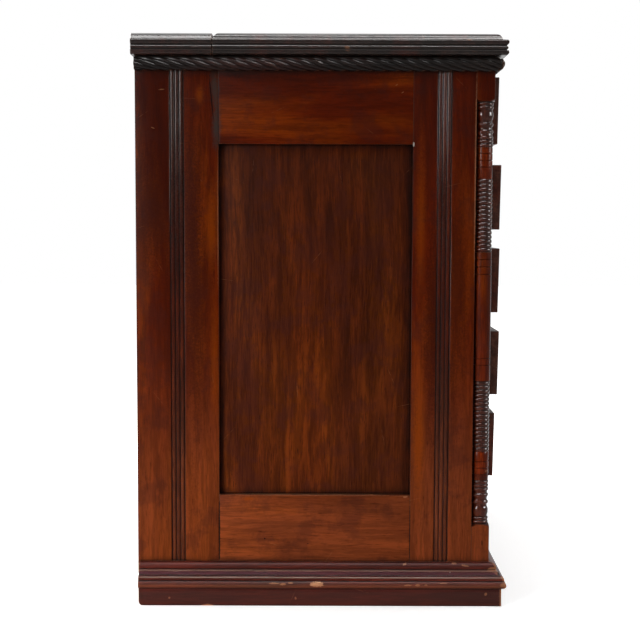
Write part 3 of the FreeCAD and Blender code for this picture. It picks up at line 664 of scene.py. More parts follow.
BASE_MARKS = (
    (4.3, 31.5, 10, 3.6, 0, "bare", 1.0, 0.1),
    (62, 32.5, 9, 1.2, 0, "worn", 0.7, 0.3),
    (50, 31.5, 5, 1.6, 0, "worn", 0.8, 0.3),
    (40, 33, 4, 1.0, 0, "worn", 0.7, 0.3),
    (-117, 30.5, 6, 1.2, 0, "worn", 0.8, 0.3),
    (-131, 30.5, 4, 1.8, 0, "worn", 0.8, 0.3),
    (-142, 31, 3, 1.2, 0, "worn", 0.7, 0.3),
    (-165, 33, 7, 0.8, 0, "worn", 0.6, 0.3),
    (-234, 49, 9, 4, 0, "worn", 0.8, 0.3),
    (-238, 45, 5, 2, 0, "bare", 0.7, 0.3),
    (-245, 31, 5, 3, 0, "worn", 0.7, 0.4),
    (-114, 55.5, 3, 1.2, 20, "bare", 0.7, 0.3),
    (-181, 56.5, 4, 1.0, 0, "bare", 0.7, 0.3),
    (-196, 54, 6, 1.2, -10, "worn", 0.8, 0.3),
    (-175, 45.5, 1.0, 1.0, 0, "nick", 0.8, 0.2),
    (203, 11, 1.6, 1.6, 0, "worn", 0.8, 0.3),
    (33, 10.8, 1.6, 2.0, 0, "worn", 0.8, 0.3),
    (-223, 17, 2.4, 2.4, 0, "worn", 0.7, 0.3),
    (152, 0.5, 9, 2.2, 0, "bare", 0.9, 0.2),
)

# Bands that run along a moulding: height and half height (mm), colour, strength, added roughness.
TOP_BANDS = (
    # The two bands darken and dull the grooves of the top's edge: dirt and painted shade.
    (745.9, 1.6, "grime_and_shade", 0.95, 0.4),
    (740.1, 1.2, "grime_and_shade", 0.95, 0.4),
)
BASE_BANDS = (
    # The dark bands at 48.9, 41.8 and 35.2 mm are painted shade in the quirks and at the foot of the cove,
    # with some dirt; the one at 24.4 mm is a painted shadow under the torus.
    (48.9, 0.8, "grime_and_shade", 0.8, 0.3),
    # Painted reflection in the cove, over the base's own plum tone.
    (44.2, 3.0, "cove_reflection", 0.6, 0.0),
    (41.8, 0.7, "grime_and_shade", 0.5, 0.1),
    (35.2, 1.0, "grime_and_shade", 0.8, 0.3),
    (24.4, 1.3, "grime_and_shade", 0.8, 0.3),
    # The worn band at 28.4 mm lightens the lower half of the torus: partly worn wood, partly painted light
    # that evens out its shading.
    (30.2, 5.2, "worn", 0.05, 0.4),
    (28.4, 2.8, "worn", 0.16, 0.2),
    (53.8, 4.6, "base_dark", 0.2, 0.25),
    # Painted highlights along the rounded tops of the two fillets, partly rubbed wear.
    (47.2, 0.9, "rubbed_and_sheen", 0.5, 0.0),
    (39.6, 1.1, "rubbed_and_sheen", 0.55, 0.0),
    (11.5, 12.0, "stain", 0.2, 0.1),
)


def start_material(name):
    """An empty material with its shader, and the object's own coordinates."""
    material = bpy.data.materials.new(name)
    material.use_nodes = True
    tree = material.node_tree
    tree.nodes.clear()
    shader = put(tree, "ShaderNodeBsdfPrincipled")
    tree.links.new(shader.outputs[0], put(tree, "ShaderNodeOutputMaterial").inputs[0])
    return material, tree, shader, put(tree, "ShaderNodeTexCoord").outputs["Object"]


def grain_place(tree, place, along):
    """Coordinates whose Z runs along the grain, shifted from board to board."""
    turned = put(tree, "ShaderNodeMapping", {"Vector": place, "Rotation": ALONG[along]}).outputs[0]
    board = put(tree, "ShaderNodeAttribute", attribute_name="board").outputs["Fac"]
    return vector_maths(tree, "ADD", turned, scaled(tree, BOARD_SHIFT, board)), board


def bumped(tree, shader, height, strength, distance):
    sockets = {"Height": height, "Strength": strength, "Distance": distance}
    tree.links.new(put(tree, "ShaderNodeBump", sockets).outputs[0], shader.inputs["Normal"])


@dataclass
class WoodRecipe:
    """How a wood is finished: its colours, then strengths from 0 to 1 unless said otherwise."""

    dark: tuple
    mid: tuple
    pale: tuple
    gloss: float = 0.4  # roughness of the polish
    shine: float = 0.02  # how much the polish mirrors
    figure: float = 0.6  # dark figure of the grain
    glow: float = 0.6  # pale mottling
    streak: float = 0.25  # light and dark streaks
    pore: float = 0.5  # dark pores
    smoke: float = 0.0  # dark haze, thicker higher up
    bloom: float = 0.0  # plum haze
    wear: float = 0.4  # bare wood on the edges
    grime_and_shade: float = 0.8  # dirt and painted shade in the corners
    crust: float = 0.0  # how much shelter the dirt and painted shade need to cover fully; 0 leaves them soft
    shelter: float = 14 * MM  # distance within which a corner gathers dirt and painted shade (m)
    fade: float = 0.0  # painted light near the floor, where light bounces up from it
    foot: float = 0.0  # darkening of the lowest part
    speckle: float = 0.0  # grey grit on rubbed crowns, stronger higher up, partly painted sheen
    marks: tuple = ()
    bands: tuple = ()


def bare_wood(tree, grain, board, mottle, upward, recipe):
    """Colour of the wood: figure, mottling, painted light near the floor, streaks and pores."""
    tint = overlay(tree, recipe.mid, grain["Figure"], recipe.figure, recipe.dark)
    tint = overlay(tree, tint, spread(tree, mottle, 0.46, 0.68), recipe.glow, recipe.pale)
    # Painted light: lighter towards the floor, where light bounced up from it.
    if recipe.fade:
        painted_floor_light = spread(tree, upward, *FLOOR_LIGHT_HEIGHTS, recipe.fade, 0.0)
        tint = blend(tree, painted_floor_light, tint, bpy.context.scene.cabinet_colours.painted_floor_light)
    broad, streak = 0.8 * recipe.streak, recipe.streak
    flame = spread(tree, grain["Flame"], 0.0, 1.0, 1.0 - broad, 1.0 + broad)
    lines = times(tree, spread(tree, grain["Streaks"], 0.0, 1.0, 1.0 - streak, 1.0 + streak), flame)
    lines = times(tree, lines, spread(tree, board, 0.0, 1.0, 0.95, 1.05))
    grey = put(tree, "ShaderNodeCombineColor", {0: lines, 1: lines, 2: lines}).outputs[0]
    tint = blend(tree, 1.0, tint, grey, "MULTIPLY")
    return overlay(tree, tint, grain["Pores"], recipe.pore, recipe.dark)


def old_polish(tree, tint, grain_at, mottle, upward, recipe):
    """Colour seen through the old polish: a dark foot, plum bloom and smoke."""
    colours = bpy.context.scene.cabinet_colours
    if recipe.foot:
        tint = blend(tree, spread(tree, upward, *FOOT_HEIGHTS, recipe.foot, 0.0), tint, recipe.dark)
    if recipe.bloom:
        haze = spread(tree, cloud(tree, grain_at, 24.0, 5.0, 0.65), 0.49, 0.62)
        tint = overlay(tree, tint, haze, recipe.bloom, colours.plum)
    if recipe.smoke:
        dusk = times(tree, spread(tree, mottle, 0.54, 0.26), recipe.smoke)
        tint = overlay(tree, tint, dusk, spread(tree, upward, *SMOKE_HEIGHTS, 0.5, 1.0), colours.smoke)
    return tint


def lay_marks(tree, place, marks, tint, height):
    """Lays each mark on the colour; a hard-edged one is also a dent."""
    for y, z, half_width, half_height, lean, shade, strength, soft in marks:
        spot = use(tree, "mark", Position=place, Lean=math.radians(lean), Soft=soft,
                   Centre=(MARKED_SIDE, y * MM, z * MM),
                   Reach=(MARK_DEPTH, half_width * MM, half_height * MM))["Mask"]
        spot = times(tree, spot, strength)
        tint = blend(tree, spot, tint, getattr(bpy.context.scene.cabinet_colours, shade))
        height = maths(tree, "SUBTRACT", height, times(tree, spot, 1.0 - soft))
    return tint, height


def lay_bands(tree, upward, bands, tint, uneven):
    """Lays each band on the colour and adds to the roughness there."""
    for z, half_height, shade, strength, matt in bands:
        off = maths(tree, "ABSOLUTE", maths(tree, "SUBTRACT", upward, z * MM))
        line = spread(tree, off, 0.4 * half_height * MM, half_height * MM, 1.0, 0.0)
        tint = overlay(tree, tint, line, strength, getattr(bpy.context.scene.cabinet_colours, shade))
        uneven = maths(tree, "ADD", uneven, times(tree, line, matt))
    return tint, uneven


def lay_grit(tree, place, upward, speckle, tint, uneven, height):
    """Lays grey grit on rubbed crowns, rough and raised; it grows stronger higher up, and its grey is partly
    painted sheen.
    """
    grit = spread(tree, cloud(tree, place, 420.0, 4.0, 0.7), 0.42, 0.62)
    rubbed_and_sheen = times(tree, spread(tree, upward, *GRIT_AND_SHEEN_HEIGHTS, 0.15, 1.0), speckle)
    tint = overlay(tree, tint, grit, rubbed_and_sheen, bpy.context.scene.cabinet_colours.rubbed_and_sheen)
    uneven = maths(tree, "ADD", uneven, times(tree, grit, 0.3 * speckle))
    return tint, uneven, maths(tree, "ADD", height, times(tree, grit, 2.0 * speckle))


# Strengths that all woods share: scratches, their depth, uneven polish, dullness of dirt and wear, and grain.
SCRATCH_TINT = 0.25
SCRATCH_DEPTH = 1.5
UNEVEN_POLISH = 0.25
CRUST_DULLNESS = 2.5
DULLNESS = 0.18
GRAIN_BUMP = 0.3
GRAIN_DEPTH = 0.15 * MM


def wood(name, along, recipe):
    """A finished wood: grain, old polish, corners darkened by dirt and painted shade, worn edges, scratches
    and placed marks.
    """
    colours = bpy.context.scene.cabinet_colours
    material, tree, shader, place = start_material(name)
    grain_at, board = grain_place(tree, place, along)
    upward = put(tree, "ShaderNodeSeparateXYZ", {0: place}).outputs[2]
    grain = use(tree, "wood_grain", Position=grain_at)
    mottle = fibres(tree, grain_at, 17.0, 3.2, 6.0, 0.6, 0.3)
    tint = bare_wood(tree, grain, board, mottle, upward, recipe)
    tint = old_polish(tree, tint, grain_at, mottle, upward, recipe)
    wear = use(tree, "edge_wear", Position=place, Shelter=recipe.shelter)
    dirt_and_shade = spread(tree, wear["Grime_and_shade"], 0.0, recipe.crust) if recipe.crust else wear["Grime_and_shade"]
    scratch = use(tree, "scratches", Position=place)["Mask"]
    # Dirt and painted shade darken the corners and grooves.
    tint = overlay(tree, tint, dirt_and_shade, recipe.grime_and_shade, colours.grime_and_shade)
    tint = overlay(tree, tint, wear["Worn"], recipe.wear, colours.worn)
    tint = overlay(tree, tint, scratch, SCRATCH_TINT, colours.worn)
    height = maths(tree, "SUBTRACT", grain["Height"], times(tree, scratch, SCRATCH_DEPTH))
    tint, height = lay_marks(tree, place, recipe.marks, tint, height)
    uneven = times(tree, maths(tree, "SUBTRACT", mottle, 0.5), UNEVEN_POLISH)
    tint, uneven = lay_bands(tree, upward, recipe.bands, tint, uneven)
    if recipe.speckle:
        tint, uneven, height = lay_grit(tree, place, upward, recipe.speckle, tint, uneven, height)
    dull = maths(tree, "ADD", wear["Worn"], times(tree, dirt_and_shade, CRUST_DULLNESS) if recipe.crust else dirt_and_shade)
    rough = maths(tree, "ADD", maths(tree, "ADD", uneven, recipe.gloss), times(tree, dull, DULLNESS))
    tree.links.new(tint, shader.inputs["Base Color"])
    tree.links.new(rough, shader.inputs["Roughness"])
    shader.inputs["Specular IOR Level"].default_value = recipe.shine
    bumped(tree, shader, height, GRAIN_BUMP, GRAIN_DEPTH)
    return material


def brass_material():
    """Old brass: tarnished in the corners, rubbed bright on the edges."""
    colours = bpy.context.scene.cabinet_colours
    material, tree, shader, place = start_material("old_brass")
    wear = use(tree, "edge_wear", Position=place, Reach=1.2 * MM, Shelter=6 * MM)
    clouds = spread(tree, cloud(tree, place, 60.0, 5.0, 0.65), 0.35, 0.7)
    tint = overlay(tree, colours.brass, clouds, 0.55, colours.brass_dark)
    tint = blend(tree, wear["Grime_and_shade"], tint, colours.brass_dark)
    tint = overlay(tree, tint, wear["Worn"], 0.6, colours.brass)
    rough = maths(tree, "ADD", times(tree, clouds, 0.25), 0.22)
    tree.links.new(tint, shader.inputs["Base Color"])
    tree.links.new(rough, shader.inputs["Roughness"])
    shader.inputs["Metallic"].default_value = 1.0
    bumped(tree, shader, cloud(tree, place, 900.0, 3.0), 0.15, 0.05 * MM)
    return material


def finishes():
    """Every finish by the name of its slot, with one wood for each direction of its grain."""
    colours = bpy.context.scene.cabinet_colours
    recipes = {
        "red_brown_wood": WoodRecipe(
            dark=colours.frame_dark, mid=colours.frame_mid, pale=colours.frame_pale, gloss=0.34, fade=0.3,
            wear=0.2, figure=0.5, glow=0.45, streak=0.17, smoke=0.35, bloom=0.4, marks=FRAME_MARKS),
        "reeded_wood": WoodRecipe(
            dark=colours.grime_and_shade, mid=colours.reed_mid, pale=colours.frame_mid, gloss=0.13, shine=0.045,
            wear=0.2, shelter=5 * MM, crust=0.42, grime_and_shade=0.9, glow=0.3, speckle=0.06, fade=0.2),
        # The panel's wide shelter paints shade along its edges inside the frame, with some dirt.
        "dark_panel_wood": WoodRecipe(
            dark=colours.panel_dark, mid=colours.panel_mid, pale=colours.panel_pale, shelter=34 * MM,
            wear=0.15, streak=0.28, pore=0.7, fade=0.04, smoke=0.3, bloom=0.4, grime_and_shade=0.9, figure=0.4,
            glow=0.3),
        "shaft_wood": WoodRecipe(
            dark=colours.frame_dark, mid=colours.shaft_mid, pale=colours.frame_pale, gloss=0.2, shine=0.035,
            wear=0.3, shelter=5 * MM, pore=0.3, smoke=0.3, bloom=0.3, marks=COLUMN_MARKS),
        "bead_wood": WoodRecipe(
            dark=colours.grime_and_shade, mid=colours.bead_mid, pale=colours.shaft_mid, gloss=0.11, shine=0.09,
            wear=0.3, shelter=3 * MM, crust=0.35, grime_and_shade=1.0, pore=0.2, speckle=0.03),
        "top_wood": WoodRecipe(
            dark=colours.top_dark, mid=colours.top_mid, pale=colours.base_mid, gloss=0.2, shine=0.12,
            wear=0.2, shelter=4 * MM, crust=0.5, pore=0.3, glow=0.25, speckle=0.06, marks=TOP_MARKS,
            bands=TOP_BANDS),
        "ebonised_wood": WoodRecipe(
            dark=colours.top_dark, mid=colours.rope_mid, pale=colours.base_mid, gloss=0.22, shine=0.085,
            wear=0.15, shelter=5 * MM, crust=0.5, pore=0.2, glow=0.2),
        "front_wood": WoodRecipe(
            dark=colours.front_dark, mid=colours.front_mid, pale=colours.frame_mid, gloss=0.3, shine=0.07,
            wear=0.35, smoke=0.3),
        "base_wood": WoodRecipe(
            dark=colours.base_dark, mid=colours.base_mid, pale=colours.frame_mid, gloss=0.22, shine=0.065,
            wear=0.8, shelter=5 * MM, crust=0.6, pore=0.3, glow=0.4, bloom=0.2, foot=0.45, speckle=0.05,
            marks=BASE_MARKS, bands=BASE_BANDS),
        "inner_wood": WoodRecipe(
            dark=colours.inner_dark, mid=colours.inner_mid, pale=colours.worn, gloss=0.72, shine=0.2,
            wear=0.2, grime_and_shade=0.5, shelter=30 * MM, figure=0.4, glow=0.3),
        "back_wood": WoodRecipe(
            dark=colours.back_dark, mid=colours.back_mid, pale=colours.inner_mid, gloss=0.8, shine=0.2,
            wear=0.2, grime_and_shade=0.7, shelter=20 * MM, figure=0.35, glow=0.25),
    }
    made = {"brass": dict.fromkeys(ALONG, brass_material())}
    for slot, recipe in recipes.items():
        made[slot] = {along: wood(slot + "_along_" + along, along, recipe) for along in ALONG}
    return made


# Operators

def dress_boards(nodes, ease, along, shortest=WOOD_EDGE):
    """Puts a worn copy in the place of each node."""
    for node in nodes:
        piece = worn_copy(node, ease, shortest)
        place_piece(piece, node, finish[slot_of[node]][along])


class CABINET_OT_finishes(Operator):
    """Makes the shader groups and the materials"""

    bl_idname = "cabinet.finishes"
    bl_label = "Finishes"

    def execute(self, context):
        build_grain()
        build_wear()
        build_scratches()
        build_mark()
        finish.update(finishes())
        return {"FINISHED"}


# A face belongs to the reeds down to this far below their grooves, unless it looks up or down.
REED_MARGIN = 0.2 * MM
LEVEL_FACE = 0.5


class CABINET_OT_sides(Operator):
    """Makes the stiles, rails and sunk panels of both sides"""

    bl_idname = "cabinet.sides"
    bl_label = "Panelled sides"

    def reeded_stile(self, node, ease, sizes):
        """A stile whose band of reeds has its own finish: rubbed grit that is partly painted sheen, and dark
        grooves.
        """
        piece = worn_copy(node, ease, WOOD_EDGE)
        low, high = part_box(node)
        middle = (low.y + high.y) / 2
        outer = max(abs(low.x), abs(high.x)) - sizes.reed_depth - REED_MARGIN
        place_piece(piece, node, finish["red_brown_wood"]["z"], finish["reeded_wood"]["z"])
        for face in piece.data.polygons:
            in_band = abs(face.center.y - middle) < sizes.reed_band / 2
            if in_band and abs(face.center.x) > outer and abs(face.normal.z) < LEVEL_FACE:
                face.material_index = 1

    def execute(self, context):
        ease = context.scene.cabinet_sizes.board_ease
        for side in SIDES:
            for stile in ("_rear_stile", "_front_stile"):
                self.reeded_stile(side + stile, ease, context.scene.cabinet_sizes)
            dress_boards([side + "_top_rail", side + "_bottom_rail"], ease, "y")
            dress_boards([side + "_side_panel"], ease, "z")
        return {"FINISHED"}


class CABINET_OT_front_frame(Operator):
    """Makes the posts, rails, apron and well front"""

    bl_idname = "cabinet.front_frame"
    bl_label = "Front frame"

    def execute(self, context):
        ease = context.scene.cabinet_sizes.board_ease
        dress_boards(["left_front_post", "right_front_post"], ease, "z")
        dress_boards(["front_top_rail", "drawer_rails", "front_apron", "well_front"], ease, "x")
        return {"FINISHED"}


# Rings cut round the shafts (mm below the shaft's top).
SHORT_SHAFT_RINGS = (8, 17, 26)
LONG_SHAFT_RINGS = (9.5, 19.5, 29.5, 142.5, 151.5)
# Steps that draw a bead and a curve. A bead is fuller than a sine when its power is under 1.
BEAD_STEPS = 6
BEAD_POWER = 0.7
CURVE_STEPS = 8
# Share of the vase above its belly, the small slopes at a neck and a shaft, and the room left at the blocks.
BELLY = 0.55
NECK_ARRIS = 0.2 * MM
SHAFT_ARRIS = 0.3 * MM
CLEAR = 5 * MM


class CABINET_OT_columns(Operator):
    """Turns the two corner columns"""

    bl_idname = "cabinet.columns"
    bl_label = "Corner columns"

    def bead_row(self, sizes, points, z, number, pitch):
        """Adds a row of round beads below z, and gives the height where the row ends."""
        for bead in range(number):
            for step in range(BEAD_STEPS):
                part = step / BEAD_STEPS
                swell = math.sin(math.pi * part) ** BEAD_POWER
                radius = sizes.groove_radius + swell * (sizes.bead_radius - sizes.groove_radius)
                points.append((radius, z - (bead + part) * pitch))
        return z - number * pitch

    def curve(self, points, start, end, bulge):
        """Adds a smooth swelling between two stations of radius and height."""
        for step in range(CURVE_STEPS):
            part = step / CURVE_STEPS
            radius = start[0] + part * (end[0] - start[0]) + bulge * math.sin(math.pi * part)
            points.append((radius, start[1] + part * (end[1] - start[1])))

    def shaft(self, sizes, points, radius, z, rings):
        """Adds a smooth shaft below z with fine rings cut round it."""
        points.append((radius, z - SHAFT_ARRIS))
        for ring in rings:
            middle = z - ring * MM
            points.append((radius, middle + sizes.ring_reach))
            points.append((radius - sizes.ring_cut, middle))
            points.append((radius, middle - sizes.ring_reach))

    def half_profile(self, sizes, z, short_shaft, long_pitch):
        """Radius and height from a block's shoulder to the long shaft."""
        points = []
        z = self.bead_row(sizes, points, z, sizes.end_beads, sizes.end_pitch)
        belly = (sizes.vase_radius, z - BELLY * sizes.vase)
        foot = (sizes.neck_radius, z - sizes.vase)
        self.curve(points, (sizes.neck_radius, z), belly, sizes.vase_swell)
        self.curve(points, belly, foot, sizes.vase_swell)
        points.append(foot)
        z -= sizes.vase + sizes.neck
        points.append((sizes.neck_radius, z + NECK_ARRIS))
        z = self.bead_row(sizes, points, z, 1, sizes.mid_pitch)
        rim = (sizes.groove_radius, z)
        low_rim = (sizes.groove_radius, z - sizes.cove)
        self.curve(points, rim, low_rim, sizes.neck_radius - sizes.groove_radius)
        z = self.bead_row(sizes, points, z - sizes.cove, 1, sizes.mid_pitch)
        points.append((sizes.groove_radius, z))
        z = self.bead_row(sizes, points, z - sizes.neck, sizes.mid_beads, sizes.mid_pitch)
        points.append((sizes.groove_radius, z))
        self.shaft(sizes, points, sizes.shaft_radius, z, SHORT_SHAFT_RINGS)
        z -= short_shaft
        points.append((sizes.shaft_radius, z))
        z = self.bead_row(sizes, points, z - sizes.neck / 2, sizes.long_beads, long_pitch)
        points.append((sizes.groove_radius, z))
        return points

    def profile(self, sizes, low, high, z_upper, z_lower):
        """Radius and height of the whole turning, wide enough at both ends to leave the blocks square."""
        wide = 1.5 * sizes.column_stock
        z_turned = z_upper - sizes.pommel
        shoulder = (sizes.pommel_radius, z_lower)
        points = [(0.0, high.z + MM), (wide, high.z + MM), (wide, z_upper + CLEAR)]
        self.curve(points, (sizes.pommel_radius, z_upper), (sizes.bead_radius, z_turned), sizes.pommel_swell)
        points += self.half_profile(sizes, z_turned, sizes.short_shaft, sizes.long_pitch)
        lower = self.half_profile(sizes, z_turned, sizes.low_short_shaft, sizes.low_long_pitch)
        lower = [(radius, z_upper + z_lower - z) for radius, z in reversed(lower)]
        self.shaft(sizes, points, sizes.long_shaft_radius, points[-1][1], LONG_SHAFT_RINGS)
        points.append((sizes.long_shaft_radius, lower[0][1] + SHAFT_ARRIS))
        points += lower
        self.curve(points, (sizes.bead_radius, z_lower + sizes.pommel), shoulder, sizes.pommel_swell)
        return points + [shoulder, (wide, z_lower - CLEAR), (wide, low.z - MM), (0.0, low.z - MM)]

    def colour_turning(self, piece, sizes, z_upper, z_lower):
        """Square blocks keep the frame's finish; shafts and beads have their own."""
        beads = sizes.end_beads * sizes.end_pitch + (2 + sizes.mid_beads) * sizes.mid_pitch
        to_shaft = sizes.pommel + beads + sizes.vase + 2 * sizes.neck + sizes.cove
        for face in piece.data.polygons:
            below, above = z_upper - face.center.z, face.center.z - z_lower
            deep = min(below, above)
            upper_half = below < above
            to_row = to_shaft + sizes.neck / 2
            to_row += sizes.short_shaft if upper_half else sizes.low_short_shaft
            row_end = to_row + sizes.long_beads * (sizes.long_pitch if upper_half else sizes.low_long_pitch)
            if deep > 0.0:
                smooth_part = to_shaft < deep < to_row or deep > row_end
                face.material_index = 1 if smooth_part else 2

    def execute(self, context):
        sizes = context.scene.cabinet_sizes
        low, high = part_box("left_corner_column")
        axis = Vector(((low.x + high.x) / 2, (low.y + high.y) / 2, 0.0))
        z_upper = high.z - sizes.column_top_block
        z_lower = low.z + sizes.column_bottom_block
        profile = self.profile(sizes, low, high, z_upper, z_lower)
        line = [axis + Vector((radius, 0.0, z)) for radius, z in profile]
        turning = draw_line("column_turning", line)
        spin_round(turning, axis, sizes.turned_sides)
        column = block("left_corner_column_turned", low, high)
        edit(column)
        bpy.ops.mesh.bevel(offset=sizes.board_ease, segments=2, affect="EDGES")
        close_edit()
        apply_modifier(column, "BOOLEAN", operation="INTERSECT", object=turning, solver="EXACT")
        bpy.data.objects.remove(turning)
        smooth(column, 35.0)
        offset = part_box("right_corner_column")[0].x - low.x
        twin = copy_of(column, "right_corner_column_turned", (offset, 0.0, 0.0))
        for piece, node in ((column, "left_corner_column"), (twin, "right_corner_column")):
            place_piece(piece, node, finish["red_brown_wood"]["z"], finish["shaft_wood"]["z"],
                        finish["bead_wood"]["z"])
            self.colour_turning(piece, sizes, z_upper, z_lower)
        return {"FINISHED"}


# Sides of one strand, steps in one turn of the rope, and its spare length at each end.
STRAND_SIDES = 10
TWIST_STEPS = 36
ROPE_SPARE = 20 * MM


class CABINET_OT_rope(Operator):
    """Carves the rope moulding along both sides and the front"""

    bl_idname = "cabinet.rope"
    bl_label = "Rope moulding"

    def strand_radius_at(self, sizes, turn):
        """Radius of the rope's outline, a ring of round strands, at a turn about its axis."""
        step = 2 * math.pi / sizes.rope_strands
        off = (turn + step / 2) % step - step / 2
        middle = sizes.rope_radius - sizes.strand_radius
        across = middle * math.sin(off)
        return middle * math.cos(off) + math.sqrt(sizes.strand_radius ** 2 - across ** 2)

    def rod(self, sizes, name, start, run, reach):
        """A twisted rod of strands along Y or X, from its start."""
        bpy.ops.object.select_all(action="DESELECT")
        sides = STRAND_SIDES * sizes.rope_strands
        turn = (math.pi / 2, 0.0, 0.0) if run == "Y" else (0.0, math.pi / 2, 0.0)
        bpy.ops.mesh.primitive_circle_add(vertices=sides, radius=1.0, rotation=turn)
        piece = bpy.context.object
        piece.name = name
        settle(piece)
        for vertex in piece.data.vertices:
            across = vertex.co.x if run == "Y" else vertex.co.y
            vertex.co *= self.strand_radius_at(sizes, math.atan2(vertex.co.z, across))
        lead = sizes.rope_strands * sizes.rope_spacing
        turns = math.ceil(reach / lead)
        apply_modifier(piece, "SCREW", axis=run, angle=2 * math.pi, screw_offset=lead, iterations=turns,
                       steps=TWIST_STEPS, render_steps=TWIST_STEPS, use_merge_vertices=True)
        piece.location = start
        settle(piece)
        edit(piece)
        bpy.ops.mesh.remove_doubles(threshold=FINE_WELD)
        bpy.ops.mesh.normals_make_consistent(inside=False)
        close_edit()
        return piece

    def execute(self, context):
        sizes = context.scene.cabinet_sizes
        low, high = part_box("left_rope")
        front_low, front_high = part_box("rope_front")
        z_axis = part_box("left_rear_stile")[1].z - sizes.rope_top_gap - sizes.rope_radius
        x_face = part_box("left_rear_stile")[0].x
        y_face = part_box("left_corner_column")[0].y
        corner = Vector((low.x, front_low.y, z_axis))
        start = Vector((x_face - sizes.rope_stand, low.y - ROPE_SPARE, z_axis))
        left = self.rod(sizes, "left_rope_carved", start, "Y", high.y - low.y + 2 * ROPE_SPARE)
        cut_off(left, (0.0, high.y, 0.0), (0.0, 1.0, 0.0))
        cut_off(left, corner, (1.0, -1.0, 0.0))
        cut_off(left, (x_face, 0.0, 0.0), (1.0, 0.0, 0.0))
        smooth(left, 50.0)
        start = Vector((front_low.x - ROPE_SPARE, y_face - sizes.rope_stand, z_axis))
        reach = front_high.x - front_low.x + 2 * ROPE_SPARE
        across = self.rod(sizes, "rope_front_carved", start, "X", reach)
        cut_off(across, corner, (-1.0, 1.0, 0.0))
        cut_off(across, (-corner.x, corner.y, z_axis), (1.0, 1.0, 0.0))
        cut_off(across, (0.0, y_face, 0.0), (0.0, 1.0, 0.0))
        smooth(across, 50.0)
        right = mirrored(left, "right_rope_carved")
        place_piece(left, "left_rope", finish["ebonised_wood"]["y"])
        place_piece(right, "right_rope", finish["ebonised_wood"]["y"])
        place_piece(across, "rope_front", finish["ebonised_wood"]["x"])
        return {"FINISHED"}


# Section of the top's edge in mm: how far it stands out from its crown, its height, and any bow.
TOP_EDGE = (
    (-4.4, 0), (-0.2, 3.6, 1), (-0.5, 5), (-0.7, 6.2), (-3, 6.8), (-3, 7.4), (-3, 12.4, 1.8), (-3, 13.2),
    (-0.1, 16.6, 0.6), (-0.2, 17.8), (-0.35, 18.7), (-2, 20.2, 0.3), (-7.6, 21.4), (-8, 22), (-16.4, 29, 2.1),
)


# How far a cutter for a hinge stands above the hinge, and the sides of its round part.
CUTTER_ABOVE = 10 * MM
KNUCKLE_SIDES = 32


class CABINET_OT_top(Operator):
    """Makes the lid and the fixed board behind it"""

    bl_idname = "cabinet.top"
    bl_label = "Top boards"

    def slab(self, name, low, high, front):
        """A board pulled up step by step, each step drawn in or out; the front edge is moulded or plain."""
        edge = outline(TOP_EDGE)
        half_width, depth = high.x, high.y - low.y
        bpy.ops.object.select_all(action="DESELECT")
        bpy.ops.mesh.primitive_plane_add(size=1.0, location=(0.0, high.y - 0.5, low.z))
        piece = bpy.context.object
        piece.name = name
        settle(piece)
        edit(piece)
        first = (2 * (half_width + edge[0].x), depth + front * edge[0].x, 1.0)
        bpy.ops.transform.resize(value=first, center_override=(0.0, high.y, low.z))
        for here, there in zip(edge, edge[1:]):
            wider = (half_width + there.x) / (half_width + here.x)
            deeper = (depth + front * there.x) / (depth + front * here.x)
            bpy.ops.mesh.extrude_region_move(TRANSFORM_OT_translate={"value": (0.0, 0.0, there.y - here.y)})
            bpy.ops.transform.resize(value=(wider, deeper, 1.0), center_override=(0.0, high.y, low.z))
        bpy.ops.mesh.select_all(action="SELECT")
        bpy.ops.mesh.normals_make_consistent(inside=False)
        close_edit()
        return piece

    def let_in(self, piece, sizes, joint, way):
        """Takes away the wood for the leaves and knuckles of both hinges."""
        low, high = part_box("hinge_pins")
        axis = (low + high) / 2
        half = sizes.hinge_length / 2
        near, far = sorted((joint - way * MM, joint + way * sizes.leaf_room))
        for x in (-sizes.hinge_spacing / 2, sizes.hinge_spacing / 2):
            start = Vector((x - half, near, axis.z - sizes.leaf_height))
            plate = block("leaf_room", start, Vector((x + half, far, axis.z + CUTTER_ABOVE)))
            bpy.ops.object.select_all(action="DESELECT")
            bpy.ops.mesh.primitive_cylinder_add(
                vertices=KNUCKLE_SIDES, radius=sizes.knuckle_room, depth=sizes.hinge_length,
                location=(x, axis.y, axis.z), rotation=(0.0, math.pi / 2, 0.0))
            barrel = bpy.context.object
            settle(barrel)
            for tool in (plate, barrel):
                apply_modifier(piece, "BOOLEAN", operation="DIFFERENCE", object=tool, solver="EXACT")
                bpy.data.objects.remove(tool)

    def execute(self, context):
        sizes = context.scene.cabinet_sizes
        low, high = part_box("lid_board")
        lid = self.slab("lid_board_moulded", low, high, 1)
        cut_off(lid, (0.0, high.y - sizes.joint_bevel, high.z), Vector((0.0, 1.0, 1.0)).normalized())
        self.let_in(lid, sizes, high.y, -1)
        low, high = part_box("rear_top_board")
        rear = self.slab("rear_top_board_moulded", low, high, 0)
        for y, outward in ((low.y + sizes.moulding_ease, -1.0), (high.y - sizes.moulding_ease, 1.0)):
            cut_off(rear, (0.0, y, high.z), Vector((0.0, outward, 1.0)).normalized())
        self.let_in(rear, sizes, low.y, 1)
        for piece, node in ((lid, "lid_board"), (rear, "rear_top_board")):
            smooth(piece, 42.0)
            place_piece(piece, node, finish["top_wood"]["x"])
        return {"FINISHED"}


# Section of the base moulding in mm: how far it stands out from the case, its height, and any bow.
BASE_EDGE = (
    (14.4, 0), (15.5, 1.3, 0.3), (15.5, 23.2), (15.3, 24.2), (16.4, 24.8), (18.2, 35, 4.1), (18.8, 36.2),
    (18.9, 37.7), (14.6, 41.9, 0.9), (12.2, 41.4), (10.5, 45, -0.3), (10.5, 46.9, 0.75), (8.3, 48.7),
    (8.8, 49.4), (4, 57.5, 2.1), (0, 57.5), (0, 40), (-20, 40), (-20, 0),
)


# Slopes of the flats that round the foot behind.
FOOT_LEANS = (0.35, 1.0, 2.8)


